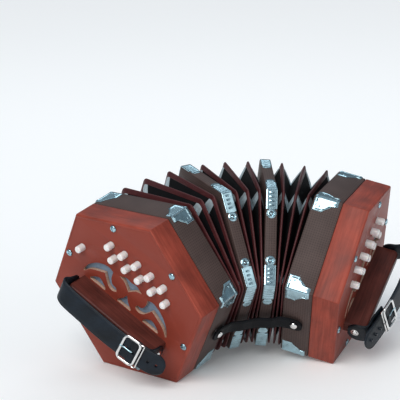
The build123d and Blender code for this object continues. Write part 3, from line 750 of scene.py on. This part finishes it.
def make_end_screws(side):
    """Six end bolts with their heads in the face, and the two screws of the hand strap."""
    bm = bmesh.new()
    for number, place in enumerate(around(BOLT_CIRCLE, 0)):
        head = BOLT_HEAD.copy()
        head.transform(Matrix.Translation(place + Vector((0, 0, END_DEPTH))) @ spin(35 + 50 * number, "Z"))
        bm.from_mesh(head)
        lathe(bm, [(BOLT_SHANK, -15.0), (BOLT_SHANK, END_DEPTH - 0.3)], Matrix.Translation(place), 20)
    end_piece(side, "end_bolts", bm, [NICKEL_PAINTED_TEAL_REFLECTION], "end_screws", sharp=40)
    bm = bmesh.new()
    for way in (1, -1):
        out = STRAP_END + STRAP_THICKNESS / 2
        place = Vector((RAIL_MIDDLE[0] + way * out, RAIL_MIDDLE[1], END_DEPTH + STRAP_SCREW_HEIGHT))
        turn = Matrix.Translation(place) @ spin(90 * way, "Y")
        head = STRAP_SCREW_HEAD.copy()
        head.transform(turn @ spin(25, "Z"))
        bm.from_mesh(head)
        lathe(bm, [(STRAP_SCREW_SHANK, -14.0), (STRAP_SCREW_SHANK, 0.0)], turn, 16)
        lathe(bm, STRAP_WASHER, turn, 32)
    end_piece(side, "strap_screws", bm, [BRIGHT_NICKEL], sharp=40)


RAIL_CORNER = 5.0
RAIL_EDGE = 2.2


def rail_uv(point, normal):
    return point.x, point.y + point.z


def make_rail(side):
    """Hand rail: a block with its outer ends rounded and its long edges softened."""
    half_thickness = RAIL_SIZE[1] / 2

    def runs_across(edge):
        return abs(edge.verts[0].co.y - edge.verts[1].co.y) > 1

    def is_rim(edge):
        on_side = abs(abs(edge.verts[0].co.y) - half_thickness) < 1e-3
        level = abs(edge.verts[0].co.y - edge.verts[1].co.y) < 1e-3
        at_foot = all(v.co.z < 1e-3 for v in edge.verts)
        if at_foot or not (on_side and level and len(edge.link_faces) == 2):
            return False
        return edge.calc_face_angle() > 1.0

    bm = bmesh.new()
    add_block(bm, RAIL_SIZE, (0, 0, RAIL_SIZE[2] / 2))
    corners = [e for e in bm.edges if all(v.co.z > 1 for v in e.verts) and runs_across(e)]
    bmesh.ops.bevel(bm, geom=corners, offset=RAIL_CORNER, segments=8, profile=0.5, affect="EDGES")
    rims = [e for e in bm.edges if is_rim(e)]
    bmesh.ops.bevel(
        bm, geom=rims, offset=RAIL_EDGE, segments=5, profile=0.5, affect="EDGES", clamp_overlap=True
    )
    bmesh.ops.translate(bm, vec=(RAIL_MIDDLE[0], RAIL_MIDDLE[1], END_DEPTH), verts=bm.verts)
    end_piece(side, "rail", bm, [MAHOGANY_RAIL_PAINTED_SHADE], "hand_rail", uv_of=rail_uv, sharp=50)


PEG_TOP = 16.0
AIR_PEG_TOP = 12.8
BUTTON_RADIUS = 3.5
BUTTON_DOME = 1.5


def make_buttons(side, nodes):
    """Turned buttons on their guide pegs, where the CAD model has them."""
    places = []
    for node in nodes:
        low, high = local_box(node, layouts[side])
        x, y, top = (low.x + high.x) / 2, (low.y + high.y) / 2, high.z
        places.append((x, y))
        shoulder = AIR_PEG_TOP if "air" in node else PEG_TOP
        profile = [(1.0, low.z), (1.2, low.z + 0.2), (1.2, shoulder), (BUTTON_RADIUS - 0.3, shoulder)]
        profile += [(BUTTON_RADIUS, shoulder + 0.3), (BUTTON_RADIUS, top - BUTTON_DOME)]
        for i in range(1, 8):
            a = math.radians(90 * i / 8)
            profile.append((2.1 + 1.4 * math.cos(a), top - BUTTON_DOME + 1.3 * math.sin(a)))
        profile += [(1.2, top - 0.07), (0.4, top)]
        bm = bmesh.new()
        lathe(bm, profile, shift(x, y, 0), 40)
        make_piece(f"{node}_turned", bm, layouts[side], [BUTTON_BONE], node, [node])
    return places


# ---- straps and buckles ----

# seen edge on: along the rail and above the face
LONG_PIECES = {
    "right": [
        (-STRAP_END + 2, 5), (-STRAP_END + 2, 17), (-STRAP_END - 3.4, 22.5), (-STRAP_END + 4, 30), (-22, 31),
        (14, 32), (52, 28.5), (73, 21),
    ],
    "left": [
        (-STRAP_END + 2, 5), (-STRAP_END + 2, 17), (-STRAP_END - 3.6, 25), (-STRAP_END + 3, 35.5), (-22, 38),
        (6, 37.5), (44, 32), (68, 26.5),
    ],
}
SHORT_PIECES = {
    "right": [(STRAP_END + 2, 5), (STRAP_END + 2, 20), (STRAP_END - 2, 24.5), (38, 27.4)],
    "left": [(STRAP_END + 2, 5), (STRAP_END + 2, 20), (STRAP_END - 2, 25), (26, 31.2)],
}
BUCKLE_PLACES = {"right": 37.0, "left": 24.0}


def strap_section(half_width, half_thickness):
    """A strap's section, with rounded edges and a creased line along each side of its face."""
    w, t = half_width, half_thickness
    crease = min(1.7, w * 0.2)
    line = [(w - crease - 0.6, t), (w - crease, t - 0.28), (w - crease + 0.6, t)]
    face = line + [(w - 0.5, t * 0.86), (w, t * 0.3)]
    right = [(-0.55 * w, t), (0, t), (0.55 * w, t)] + face
    under = [(w, -t * 0.3), (w - 0.5, -t * 0.86), (w - 1.2, -t), (0, -t), (-w + 1.2, -t)]
    left = [(-w + 0.5, -t * 0.86), (-w, -t * 0.3)] + [(-x, y) for x, y in reversed(face)]
    return right + under + left


STRAP_TILT = 18.0  # once clear of the rail, the strap's upper edge leans towards the face
TILT_FROM, TILT_TO = 16.0, 34.0
PUNCHED_HOLE = 1.5
HOLE_PLACES = [8, 15, 22, 29, 36]  # in points of the path, from the tip


def tip_width(half, from_tip):
    """Half the width of a strap near its rounded tip."""
    return max(0.8, math.sqrt(half**2 - (half - min(half, from_tip)) ** 2))


def strap_uv(point, normal):
    return point.x + point.z, point.y


def strap_rings(path, outwards, width_of):
    """Sections along a path in the x-z plane; width_of gives the half-width at each length."""
    rings, length = [], 0.0
    for i, point in enumerate(path):
        before, after = path[max(i - 1, 0)], path[min(i + 1, len(path) - 1)]
        length += (point - path[i - 1]).length if i else 0.0
        tangent = (after - before).normalized()
        lean = math.radians(STRAP_TILT) * ease((length - TILT_FROM) / (TILT_TO - TILT_FROM))
        level = Vector((-tangent.z, 0, tangent.x)) * outwards
        across = Vector((0, math.cos(lean), 0)) - level * math.sin(lean)
        normal = level * math.cos(lean) + Vector((0, math.sin(lean), 0))
        rings.append([
            point + normal * h + across * w for w, h in strap_section(width_of(length), STRAP_THICKNESS / 2)
        ])
    return rings


def make_hand_strap(side):
    """Leather strap over the hand: a long piece with punched holes and a loose tail, and a buckle piece."""
    half = STRAP_WIDTH / 2
    bm = bmesh.new()
    for points, outwards, tail in ((LONG_PIECES[side], 1, True), (SHORT_PIECES[side], -1, False)):
        path = [Vector((x, RAIL_MIDDLE[1], END_DEPTH + h)) for x, h in points]
        path = evenly_spaced(rounded_path(path), 1.2)
        total = sum((b - a).length for a, b in zip(path, path[1:]))

        def width_of(length):
            from_tip = total - length if tail else half
            return tip_width(half, min(from_tip + 0.4, length + 1.0))

        loft(bm, strap_rings(path, outwards, width_of), caps=True)
        if tail:
            holes = [(path[-i], path[1 - i] - path[-i - 1]) for i in HOLE_PLACES]
    strap = mesh_of(bm)
    bm = bmesh.new()
    for place, along in holes:
        turn = Matrix.Translation(place) @ facing(Vector((-along.z, 0, along.x)))
        lathe(bm, [(PUNCHED_HOLE, -3.0), (PUNCHED_HOLE, 3.0)], turn, 20)
    bm = bm_of(subtract(strap, mesh_of(bm)))
    end_piece(side, "hand_strap_leather", bm, [STRAP_LEATHER_PAINTED_BLUE_SHEEN], "hand_strap", uv_of=strap_uv, sharp=40)


def wire_loop(bm, matrix, length, width, corner, thick, tall):
    """A rounded rectangular frame of wire with an oval section, lying on z = 0."""
    centre_line = []
    for sx, sy, first in ((1, 1, 0), (-1, 1, 90), (-1, -1, 180), (1, -1, 270)):
        middle = Vector((sx * (length / 2 - corner), sy * (width / 2 - corner), 0))
        for i in range(7):
            centre_line.append((middle, polar(math.radians(first + 15 * i))))
    rings = []
    for middle, out in centre_line:
        ring = []
        for i in range(12):
            a = 2 * math.pi * i / 12
            reach = corner - thick / 2 + thick / 2 * math.cos(a)
            ring.append(matrix @ (middle + out * reach + Vector((0, 0, tall / 2 + tall / 2 * math.sin(a)))))
        rings.append(ring)
    loft(bm, rings, close_loft=True)


def sweep_rod(bm, points, one_way, other_way, half_width, half_height):
    """An oval rod through points, its section the same all along."""
    turns = [2 * math.pi * i / 12 for i in range(12)]
    section = [one_way * half_width * math.cos(a) + other_way * half_height * math.sin(a) for a in turns]
    loft(bm, [[point + spoke for spoke in section] for point in points], caps=True)


BUCKLE_WIRE = (20.6, 27.4, 5.6, 2.7, 1.9)  # length, width, corner, and the wire's width and height
KEEPER_WIRE = (5.6, 26.4, 2.4, 1.5, 2.4)
KEEPER_PLACE = (10.2, 0, -1.0)
PRONG = [(3.6, 1.0), (0.4, 1.4), (-5.0, 0.9), (-8.6, 1.75), (-9.9, 1.9)]  # along the strap, and above it
LOOP_PLACE = 3.4
LOOP_SLOT = 1.3


def make_buckle(side):
    """Bright frame on the long piece, its prong in a hole, and the keeper loop on the tail's side."""
    place = BUCKLE_PLACES[side]
    runs = zip(LONG_PIECES[side], LONG_PIECES[side][1:])
    (x1, y1), (x2, y2) = next(run for run in runs if run[0][0] < place < run[1][0] and run[0][0] > -30)
    along = Vector((x2 - x1, 0, y2 - y1)).normalized()
    up = Vector((-along.z, 0, along.x))
    middle = Vector((place, RAIL_MIDDLE[1], END_DEPTH + y1 + (y2 - y1) * (place - x1) / (x2 - x1)))
    tilt = Matrix.Rotation(-math.radians(STRAP_TILT), 3, along)
    up = tilt @ up
    middle += up * (STRAP_THICKNESS / 2 + 0.15)
    across = up.cross(along)
    flat = Matrix((along, across, up)).transposed().to_4x4()
    flat.translation = middle
    bm = bmesh.new()
    wire_loop(bm, flat, *BUCKLE_WIRE)
    wire_loop(bm, flat @ shift(*KEEPER_PLACE), *KEEPER_WIRE)
    frame_faces = len(bm.faces)
    sweep_rod(bm, smooth_run([flat @ Vector((x, 0, z)) for x, z in PRONG]), across, up, 0.75, 0.55)
    bm.faces.ensure_lookup_table()
    for face in bm.faces[frame_faces:]:
        face.material_index = 1
    end_piece(side, "buckle", bm, [BRIGHT_NICKEL, NICKEL_PAINTED_TEAL_REFLECTION], "strap_buckle", sharp=45)
    bm = bmesh.new()
    half = STRAP_WIDTH / 2
    for low, high in ((-half, -LOOP_SLOT), (LOOP_SLOT, half)):
        loop = [flat @ Vector((LOOP_PLACE, y, 0.1)) for y in spread(low, high, 8)]
        sweep_rod(bm, loop, along, up, 3.3, 1.0)
    end_piece(side, "buckle_loop", bm, [STRAP_LEATHER_PAINTED_BLUE_SHEEN], uv_of=strap_uv, sharp=45)


# ---- casings, middle frames and their nickel fittings ----


CASING_BACK = 3.0
BORE_DEPTH = (CORNER_RADIUS - BORE_RADIUS) * COS30  # in from the outer side


def make_casing(side):
    """Casing covered in leatherette, open towards the bellows."""
    ledge = CASING_BACK - CASING_DEPTH
    bm = bmesh.new()
    hexagon_profile(bm, [
        (1.2, 0.0), (1.05, -0.3), (0.3, -0.42), (0.0, -1.1), (0.0, 1.1 - CASING_DEPTH),
        (0.3, 0.3 - CASING_DEPTH), (1.1, -CASING_DEPTH), (BORE_DEPTH, -CASING_DEPTH), (BORE_DEPTH, ledge),
        (CASING_WALL, ledge), (CASING_WALL, 0.0),
    ], 30)
    for place in around(BOLT_CIRCLE, 0):
        lathe(bm, [(BOLT_BOSS, -18.0), (BOLT_BOSS, -0.1)], Matrix.Translation(place), 24)
    end_piece(side, "casing_covered", bm, [LEATHERETTE], "casing", uv_of=side_uv, sharp=50)


def make_middle_frame(number):
    half = FRAME_DEPTH / 2
    bm = bmesh.new()
    hexagon_profile(bm, [
        (1.0, half), (0.3, half - 0.3), (0.0, half - 1.0), (0.0, 1.0 - half), (0.3, 0.3 - half),
        (1.0, -half), (BORE_DEPTH, -half), (BORE_DEPTH, half),
    ], 0)
    node = f"middle_frame_{number}"
    make_piece(f"{node}_covered", bm, frames[number], [LEATHERETTE], chain[3 * number], [node], plane_uv, 50)


SURFACE_ROUNDING = 1.4


def rim_point(angle, s, z, height):
    """A point at s millimetres round the rim from a corner, at a height above the covered surface."""
    corner = math.radians(angle)
    centre = polar(corner) * (CORNER_RADIUS - SURFACE_ROUNDING / COS30)
    arc = SURFACE_ROUNDING * math.radians(30)
    on_arc = max(-arc, min(arc, s))
    out = polar(corner + on_arc / SURFACE_ROUNDING)
    along = quarter_turn(out) * (s - on_arc)
    return centre + out * (SURFACE_ROUNDING + height) + along + Vector((0, 0, z))


def corner_patch(bm, angle, stations, low_of, high_of, rows, height_of):
    """A thin plate bent round a corner: columns at stations along the rim, each from low_of to high_of."""
    top, under = [], []
    for s in stations:
        low, high = low_of(s), high_of(s)
        zs = [low + (high - low) * (0.5 - 0.5 * math.cos(math.pi * r / rows)) for r in range(rows + 1)]
        top.append([rim_point(angle, s, z, height_of(s, z)) for z in zs])
        under.append([rim_point(angle, s, z, -0.25) for z in zs])
    rings = [over + list(reversed(below)) for over, below in zip(top, under)]
    loft(bm, rings, caps=True)


def ease(value):
    value = max(0.0, min(1.0, value))
    return value * value * (3 - 2 * value)


def spread(low, high, count):
    return [low + (high - low) * i / count for i in range(count + 1)]


PLATE_REACH = 13.8  # round the rim, each side of the corner
PLATE_NECK = 5.8
PLATE_BACK = -26.3
PLATE_SHOULDER = -16.5
PLATE_WAIST = -9.0
PLATE_FRONT = -3.4
TACK_PLACES = ((3.6, -6.6), (-3.6, -6.6), (9.2, -20.5), (-9.2, -20.5))
TACK_PROFILE = [(1.2, -0.1), (1.2, 0.15), (0.95, 0.5), (0.5, 0.68), (0.1, 0.72)]
STUD_PROFILE = [
    (3.4, -0.1), (3.4, 0.5), (2.0, 1.0), (2.0, 4.4), (3.4, 4.6), (3.7, 5.1), (3.3, 5.9), (2.2, 6.5),
    (0.6, 6.7),
]


def plate_front(s):
    """The stepped front edge of a casing's corner plate: an ogee from the neck out to the shoulder."""
    across = (abs(s) - PLATE_NECK) / (PLATE_REACH - PLATE_NECK)
    if across <= 0:
        return PLATE_FRONT
    if across <= 0.04:
        return PLATE_WAIST + 1.6
    return PLATE_WAIST + (PLATE_SHOULDER - PLATE_WAIST) * ease(across)


def plate_height(s, z):
    """Plate with a rounded edge, a raised line beside its ogee, and a raised back border."""
    inside = min(z - PLATE_BACK, plate_front(s) - z, PLATE_REACH - abs(s))
    height = 0.35 + 0.3 * ease(inside / 0.7)
    height += 0.32 * math.exp(-(((inside - 2.0) / 0.5) ** 2))
    height += 0.45 * ease(1.6 - abs(s) / 0.7)
    return height


def make_casing_fittings(side):
    """Six stepped corner plates with their tacks, and the stud of the closing strap."""
    edges = spread(-PLATE_REACH, -PLATE_NECK - 0.3, 16)
    stations = edges + spread(-PLATE_NECK, PLATE_NECK, 22) + [-s for s in reversed(edges)]
    bm = bmesh.new()
    for corner in range(6):
        angle = 30 + 60 * corner
        corner_patch(bm, angle, stations, lambda s: PLATE_BACK, plate_front, 26, plate_height)
        for s, z in TACK_PLACES:
            foot = rim_point(angle, s, z, 0.4)
            out = (rim_point(angle, s, z, 1.4) - foot).normalized()
            turn = Matrix.Translation(foot) @ facing(out)
            lathe(bm, TACK_PROFILE, turn, 18)
    end_piece(side, "corner_plates", bm, [NICKEL_PAINTED_TEAL_REFLECTION], "casing_fittings", uv_of=side_uv, sharp=40)
    bm = bmesh.new()
    foot = Vector((APOTHEM, 0, -STUD_DEPTH))
    lathe(bm, STUD_PROFILE, Matrix.Translation(foot) @ spin(90, "Y"), 32)
    end_piece(side, "strap_stud", bm, [BRIGHT_NICKEL], sharp=40)


BAND_REACH = 28.0
BAND_LEG = 19.4
EYE_PLACE = 23.6
EYE_RADIUS = 4.5
BAND_HALF = FRAME_DEPTH / 2 - 0.35
BAND_TIPS = [BAND_REACH, 27.7, 27.2, 26.5, 25.5]
DASH_PLACES = (3.4, 7.4, 11.4, 15.4)
RIB_PLACES = (4.5, 7.9, 11.3, 14.7, 18.1, 22.2)


def band_half_width(s):
    """Half the width of a frame's corner strap: straight legs, a nick, and a round end."""
    reach = abs(s)
    if reach <= BAND_LEG:
        return BAND_HALF
    round_end = math.sqrt(max(EYE_RADIUS**2 - (reach - EYE_PLACE) ** 2, 0.01))
    return max(round_end, 0.3)


def band_height(s, z, eyed):
    """Raised details: on an eyed leg four dashes and an eyelet, on a ribbed leg cross ribs."""
    inside = min(band_half_width(s) - abs(z), BAND_REACH + 0.1 - abs(s))
    height = 0.3 + 0.3 * ease(inside / 0.6)
    reach = abs(s)
    if eyed:
        for place in DASH_PLACES:
            height += 0.42 * ease(1.6 - abs(reach - place) / 0.55) * ease((1.9 - abs(z)) / 0.7)
        from_eye = math.hypot(reach - EYE_PLACE, z)
        height += 0.5 * ease(1.6 - abs(from_eye - 2.9) / 0.6)
        height -= 0.75 * ease((2.4 - from_eye) / 0.4)
        height += 0.9 * ease((1.3 - from_eye) / 0.7)
    else:
        bow = 0.045 * z * z
        for place in RIB_PLACES:
            rib = ease(1.4 - abs(reach + bow - place) / 0.6)
            height += 0.4 * rib * ease((BAND_HALF - 0.5 - abs(z)) / 0.8)
    return height


def make_corner_straps(number):
    """Nickel straps round the six corners of a middle frame, a ribbed leg and an eyed leg on each."""
    stations = [-s for s in BAND_TIPS] + spread(-24.6, 24.6, 110) + BAND_TIPS[::-1]
    bm = bmesh.new()
    for corner in range(6):
        eyed_side = -1 if corner % 2 else 1

        def height_of(s, z):
            return band_height(s, z, s * eyed_side > 0)

        corner_patch(bm, 60 * corner, stations, lambda s: -band_half_width(s), band_half_width, 18,
                     height_of)
    node = f"middle_frame_{number}_corner_straps"
    make_piece(f"{node}_pressed", bm, frames[number], [NICKEL_PAINTED_TEAL_REFLECTION], chain[3 * number], [node], plane_uv, 40)


# ---- the bellows ----

BINDING_START = 0.80  # share of the way from valley to peak
BEAD = 0.95
GUSSET_AT_VALLEY = 7.0
GUSSET_AT_PEAK = 4.4
PEAK_ROUNDING = 6.0
VALLEY_ROUNDING = 0.4
SIDE_STEPS = 5
ARC_STEPS = 6


def fold_columns(radius, rounding, gusset):
    """Points round a hexagon: each corner's arc, the two edges of its gusset, and the straight side.

    Each point comes with the direction of the rim there.
    """
    points = []
    for corner in range(6):
        angle = math.radians(60 * corner)
        centre = polar(angle) * (radius - rounding / COS30)
        back, here, there = [polar(angle + turn) * radius for turn in (-math.pi / 3, 0, math.pi / 3)]
        last_rim = (here - back).normalized()
        rim = (there - here).normalized()
        points.append((here - last_rim * gusset, last_rim))
        for step in range(ARC_STEPS + 1):
            out = polar(angle + math.radians(60 * (step / ARC_STEPS - 0.5)))
            points.append((centre + out * rounding, quarter_turn(out)))
        points.append((here + rim * gusset, rim))
        for step in range(1, SIDE_STEPS):
            points.append(((here + rim * gusset).lerp(there - rim * gusset, step / SIDE_STEPS), rim))
    return points


# rows of the outer surface of one leaf: share of the way from valley to peak, height above the card
LEAF_ROWS = [
    (0.0, 0.0), (0.18, 0.1), (0.36, 0.12), (0.54, 0.12), (0.7, 0.12), (BINDING_START - 0.012, 0.12),
    (BINDING_START, 0.34), (BINDING_START + 0.025, 0.42), (0.86, 0.5), (0.91, 0.66), (0.955, 0.82),
]
CARD_ROWS = 5  # of these, before the binding
BEAD_ANGLES = (62, 40, 20, 0, -20, -40, -62)
LINING_ROWS = [(0.5, -0.4), (0.0, -0.8)]
PER_CORNER = ARC_STEPS + 2 + SIDE_STEPS
GUSSET_RELIEF = 0.3
LEAF_STEP = 400  # from one leaf's piece of card to the other's, in UV


def make_fold(number):
    """One fold: two card leaves, the burgundy binding over their peak, and silver gussets at the corners."""
    start, ridge, end = folds[number - 1]
    valley = fold_columns(VALLEY_RADIUS, VALLEY_ROUNDING, GUSSET_AT_VALLEY)
    peak = fold_columns(PEAK_RADIUS - BEAD, PEAK_ROUNDING, GUSSET_AT_PEAK)
    turn_to_row = ridge.to_3x3().normalized()
    normal_to_ridge = (turn_to_row @ Vector((0, 0, 1))).normalized()
    columns = []
    for (low, _), (high, rim) in zip(valley, peak):
        top = ridge @ high
        tangent = turn_to_row @ rim
        outwards = tangent.cross(normal_to_ridge).normalized()
        feet = [start @ low, end @ low]
        leaves = []
        for foot, away in zip(feet, (-1, 1)):
            lift = (top - foot).normalized().cross(tangent).normalized()
            if lift.dot(normal_to_ridge) * away < 0:
                lift = -lift
            leaves.append((foot, lift))
        columns.append((top, outwards, leaves))

    def leaf_row(leaf, share, height):
        """One row of points across a leaf; the gussets stand proud of the card and sink at their crease."""
        points = []
        for column, (top, _, leaves) in enumerate(columns):
            foot, lift = leaves[leaf]
            on_gusset = 0 < column % PER_CORNER < ARC_STEPS + 1 and 0.1 < share < BINDING_START - 0.02
            proud = GUSSET_RELIEF if on_gusset and height > 0 else 0.0
            points.append(foot.lerp(top, share) + lift * (height + proud) * MM)
        return points

    profile = [leaf_row(0, share, height) for share, height in LEAF_ROWS]
    for angle in BEAD_ANGLES:
        a = math.radians(angle)
        profile.append([
            top + (out * math.cos(a) - normal_to_ridge * math.sin(a)) * BEAD * MM for top, out, _ in columns
        ])
    profile += [leaf_row(1, share, height) for share, height in reversed(LEAF_ROWS)]
    profile += [leaf_row(1, share, height) for share, height in reversed(LINING_ROWS)]
    profile.append([leaves[0][0].lerp(leaves[1][0], 0.5).lerp(top, 0.93) for top, _, leaves in columns])
    profile += [leaf_row(0, share, height) for share, height in LINING_ROWS]

    last_outer = 2 * len(LEAF_ROWS) + len(BEAD_ANGLES) - 1

    def material_of(row, column):
        if row >= last_outer:
            return 0
        if CARD_ROWS <= row < last_outer - CARD_ROWS:
            return 1
        return 2 if column % PER_CORNER < ARC_STEPS + 2 else 0

    bm = bmesh.new()
    bm.loops.layers.uv.new("UVMap")
    loft(bm, profile, close_loft=True, material_of=material_of)
    layer = bm.loops.layers.uv.active
    back = ridge.inverted()
    for face in bm.faces:
        middle = back @ face.calc_center_median()
        for loop in face.loops:
            point = back @ loop.vert.co
            along, _ = plane_uv(point, middle)
            loop[layer].uv = (along, point.to_2d().length + (LEAF_STEP if point.z > 0 else 0))
    piece = make_piece(f"fold_{number}_leaves", bm, Matrix.Identity(4), [CARD, BINDING, GUSSET],
                       stands_for=[f"bellows_fold_{number}"], sharp=40)
    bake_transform(piece)


def front_section(plane, z, rise):
    """The closing strap's place over the middle of a plane's lower front side, and its directions there."""
    outwards = polar(math.radians(210))
    middle = outwards * (APOTHEM + rise) + Vector((0, 0, z))
    turn = plane.to_3x3().normalized()
    return plane @ middle, (turn @ outwards).normalized(), (turn @ quarter_turn(outwards)).normalized()


CLOSING_LOW = 2.2 + CLOSING_THICKNESS / 2  # above the covered side, at the studs
CLOSING_RISE = 5.0
CLOSING_TIP = CASING_DEPTH - STUD_DEPTH + 8.0  # from the bellows' first plane to the rounded tip
CLOSING_ARCH = [0.25, 0.5, 0.78, 1.0, 1.06, 1.06, 1.0, 0.8, 0.5, 0.25]  # the rise's share at each plane


def closing_height(plane):
    return CLOSING_LOW + CLOSING_RISE * CLOSING_ARCH[plane]


def tip_sections(plane, way, height):
    """The strap from a casing's plane to its rounded tip over the stud, in order of z."""
    half = CLOSING_WIDTH / 2
    sections = []
    reach = spread(0.6, CLOSING_TIP, 24)
    for out in reach[::-1] if way < 0 else reach:
        rise = CLOSING_LOW + (height - CLOSING_LOW) * ease(1 - out / 10)
        sections.append((*front_section(plane, way * out, rise), tip_width(half, CLOSING_TIP - out + 0.5)))
    return sections


def make_closing_strap():
    """Leather strap buttoned over both studs, built in pieces cut at each fold's planes."""
    half = CLOSING_WIDTH / 2
    for number, (start, ridge, end) in enumerate(folds, 1):
        first, last = closing_height(number - 1), closing_height(number)
        sections = tip_sections(start, -1, first) if number == 1 else []
        sections.append((*front_section(start, 0, first), half))
        sections.append((*front_section(ridge, 0, (first + last) / 2), half))
        sections.append((*front_section(end, 0, last), half))
        if number in FRAME_AFTER:
            for z in (3.0, 6.0, 9.0, FRAME_DEPTH):
                sections.append((*front_section(end, z, last), half))
        if number == FOLDS:
            sections += tip_sections(end, 1, last)
        rings = []
        for middle, outwards, across, width in sections:
            section = strap_section(width, CLOSING_THICKNESS / 2)
            rings.append([middle + (across * w + outwards * h) * MM for w, h in section])
        bm = bmesh.new()
        loft(bm, rings, caps=True)
        back = ridge.inverted()
        piece = make_piece(f"closing_strap_{number}", bm, Matrix.Identity(4), [CLOSING_LEATHER],
                           stands_for=["closing_strap"] if number == 5 else [], sharp=40,
                           uv_of=lambda p, n, back=back: ((back @ p).z, (back @ p).y))
        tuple(front_section(start, 0, first)[0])
        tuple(front_section(end, 0, last)[0])
        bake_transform(piece)


# ---- the whole instrument ----

for side, hand in SIDES:
    nodes = [f"{side}_button_{n}" for n in range(1, 11)] + (["right_air_button"] if side == "right" else [])
    places = make_buttons(side, nodes)
    make_end_box(side, places)
    make_fret_cloth(side)
    make_end_screws(side)
    make_rail(side)
    make_hand_strap(side)
    make_buckle(side)
    make_casing(side)
    make_casing_fittings(side)
for number in (1, 2):
    make_middle_frame(number)
    make_corner_straps(number)
for number in range(1, FOLDS + 1):
    make_fold(number)
make_closing_strap()

CARRIED_OVER = {
    "_action_board": ACTION_WOOD,
    "_key_levers": BRASS,
    "_air_lever": BRASS,
    "_reed_pan": ACTION_WOOD,
    "_reed_plates": REED_BRASS,
}
for name, node in frame["nodes"].items():
    for ending, material in CARRIED_OVER.items():
        if name.endswith(ending):
            node.data.materials.clear()
            node.data.materials.append(material)


# ---- camera, floor and light ----

CAMERA_TARGET = Vector((-0.02982, 0.02597, 0.15024))
CAMERA_DISTANCE = 1.7084
CAMERA_AZIMUTH = -16.08  # from the front towards the left-hand end
CAMERA_ELEVATION = 15.43
CAMERA_ROLL = 0.92
CAMERA_LENS = 158.98
WORLD_COLOURS = [(0.05, (0.14, 0.22, 0.27)), (0.8, (0.80, 0.90, 1.0))]
WORLD_STRENGTH = 0.43
OBJECT_MIDDLE = Vector((0, 0, 0.09))


def direction(azimuth, elevation):
    """From the object towards a place seen at this azimuth (0 in front) and elevation."""
    a, e = math.radians(azimuth), math.radians(elevation)
    return Vector((math.sin(a) * math.cos(e), -math.cos(a) * math.cos(e), math.sin(e)))


def make_camera():
    data = bpy.data.cameras.new("camera")
    data.lens = CAMERA_LENS
    data.sensor_width = 36.0
    camera = put_in_scene("camera", data)
    back = direction(CAMERA_AZIMUTH, CAMERA_ELEVATION)
    camera.location = CAMERA_TARGET + back * CAMERA_DISTANCE
    camera.rotation_euler = (facing(back) @ spin(-CAMERA_ROLL, "Z")).to_euler()
    bpy.context.scene.camera = camera


def hang_light(name, kind, azimuth, elevation, distance, power, colour):
    data = bpy.data.lights.new(name, kind)
    data.energy = power
    data.color = colour
    light = put_in_scene(name, data)
    towards = direction(azimuth, elevation)
    light.location = OBJECT_MIDDLE + towards * distance
    light.rotation_euler = facing(towards).to_euler()
    return data


def make_soft_box(name, azimuth, elevation, distance, size, power, colour):
    data = hang_light(name, "AREA", azimuth, elevation, distance, power, colour)
    data.shape = "RECTANGLE"
    data.size, data.size_y = size


def make_floor():
    bm = bmesh.new()
    bmesh.ops.create_grid(bm, x_segments=1, y_segments=1, size=6.0)
    mesh = mesh_of(bm)
    n = Nodes("pale_floor")
    glow = {"Emission_Color": (1, 1, 1, 1), "Emission_Strength": 0.09}
    mesh.materials.append(n.finish((0.95, 0.95, 0.95), Roughness=0.8, **glow))
    put_in_scene("floor", mesh)


def make_world():
    """Studio walls: pale overhead, darker and slightly blue towards the horizon."""
    n = Nodes("studio", bpy.data.worlds)
    separate = n.add("ShaderNodeSeparateXYZ")
    n.feed(n.add("ShaderNodeTexCoord").outputs["Generated"], separate.inputs[0])
    background = n.tree.nodes["Background"]
    n.feed(n.ramp(separate.outputs["Z"], *WORLD_COLOURS), background.inputs["Color"])
    n.feed(WORLD_STRENGTH, background.inputs["Strength"])
    bpy.context.scene.world = n.block


make_camera()
make_floor()
make_world()
sun = hang_light("key", "SUN", -43, 42, 2.0, 2.3, (1.0, 0.985, 0.965))
sun.angle = math.radians(46)
make_soft_box("front", 40, 25, 1.7, (0.9, 0.9), 2.5, (1.0, 0.99, 0.97))
make_soft_box("rim", 165, 50, 1.7, (1.2, 0.5), 4, (0.88, 0.95, 1.0))
bpy.context.scene.view_settings.view_transform = "Standard"

bpy.context.view_layer.update()
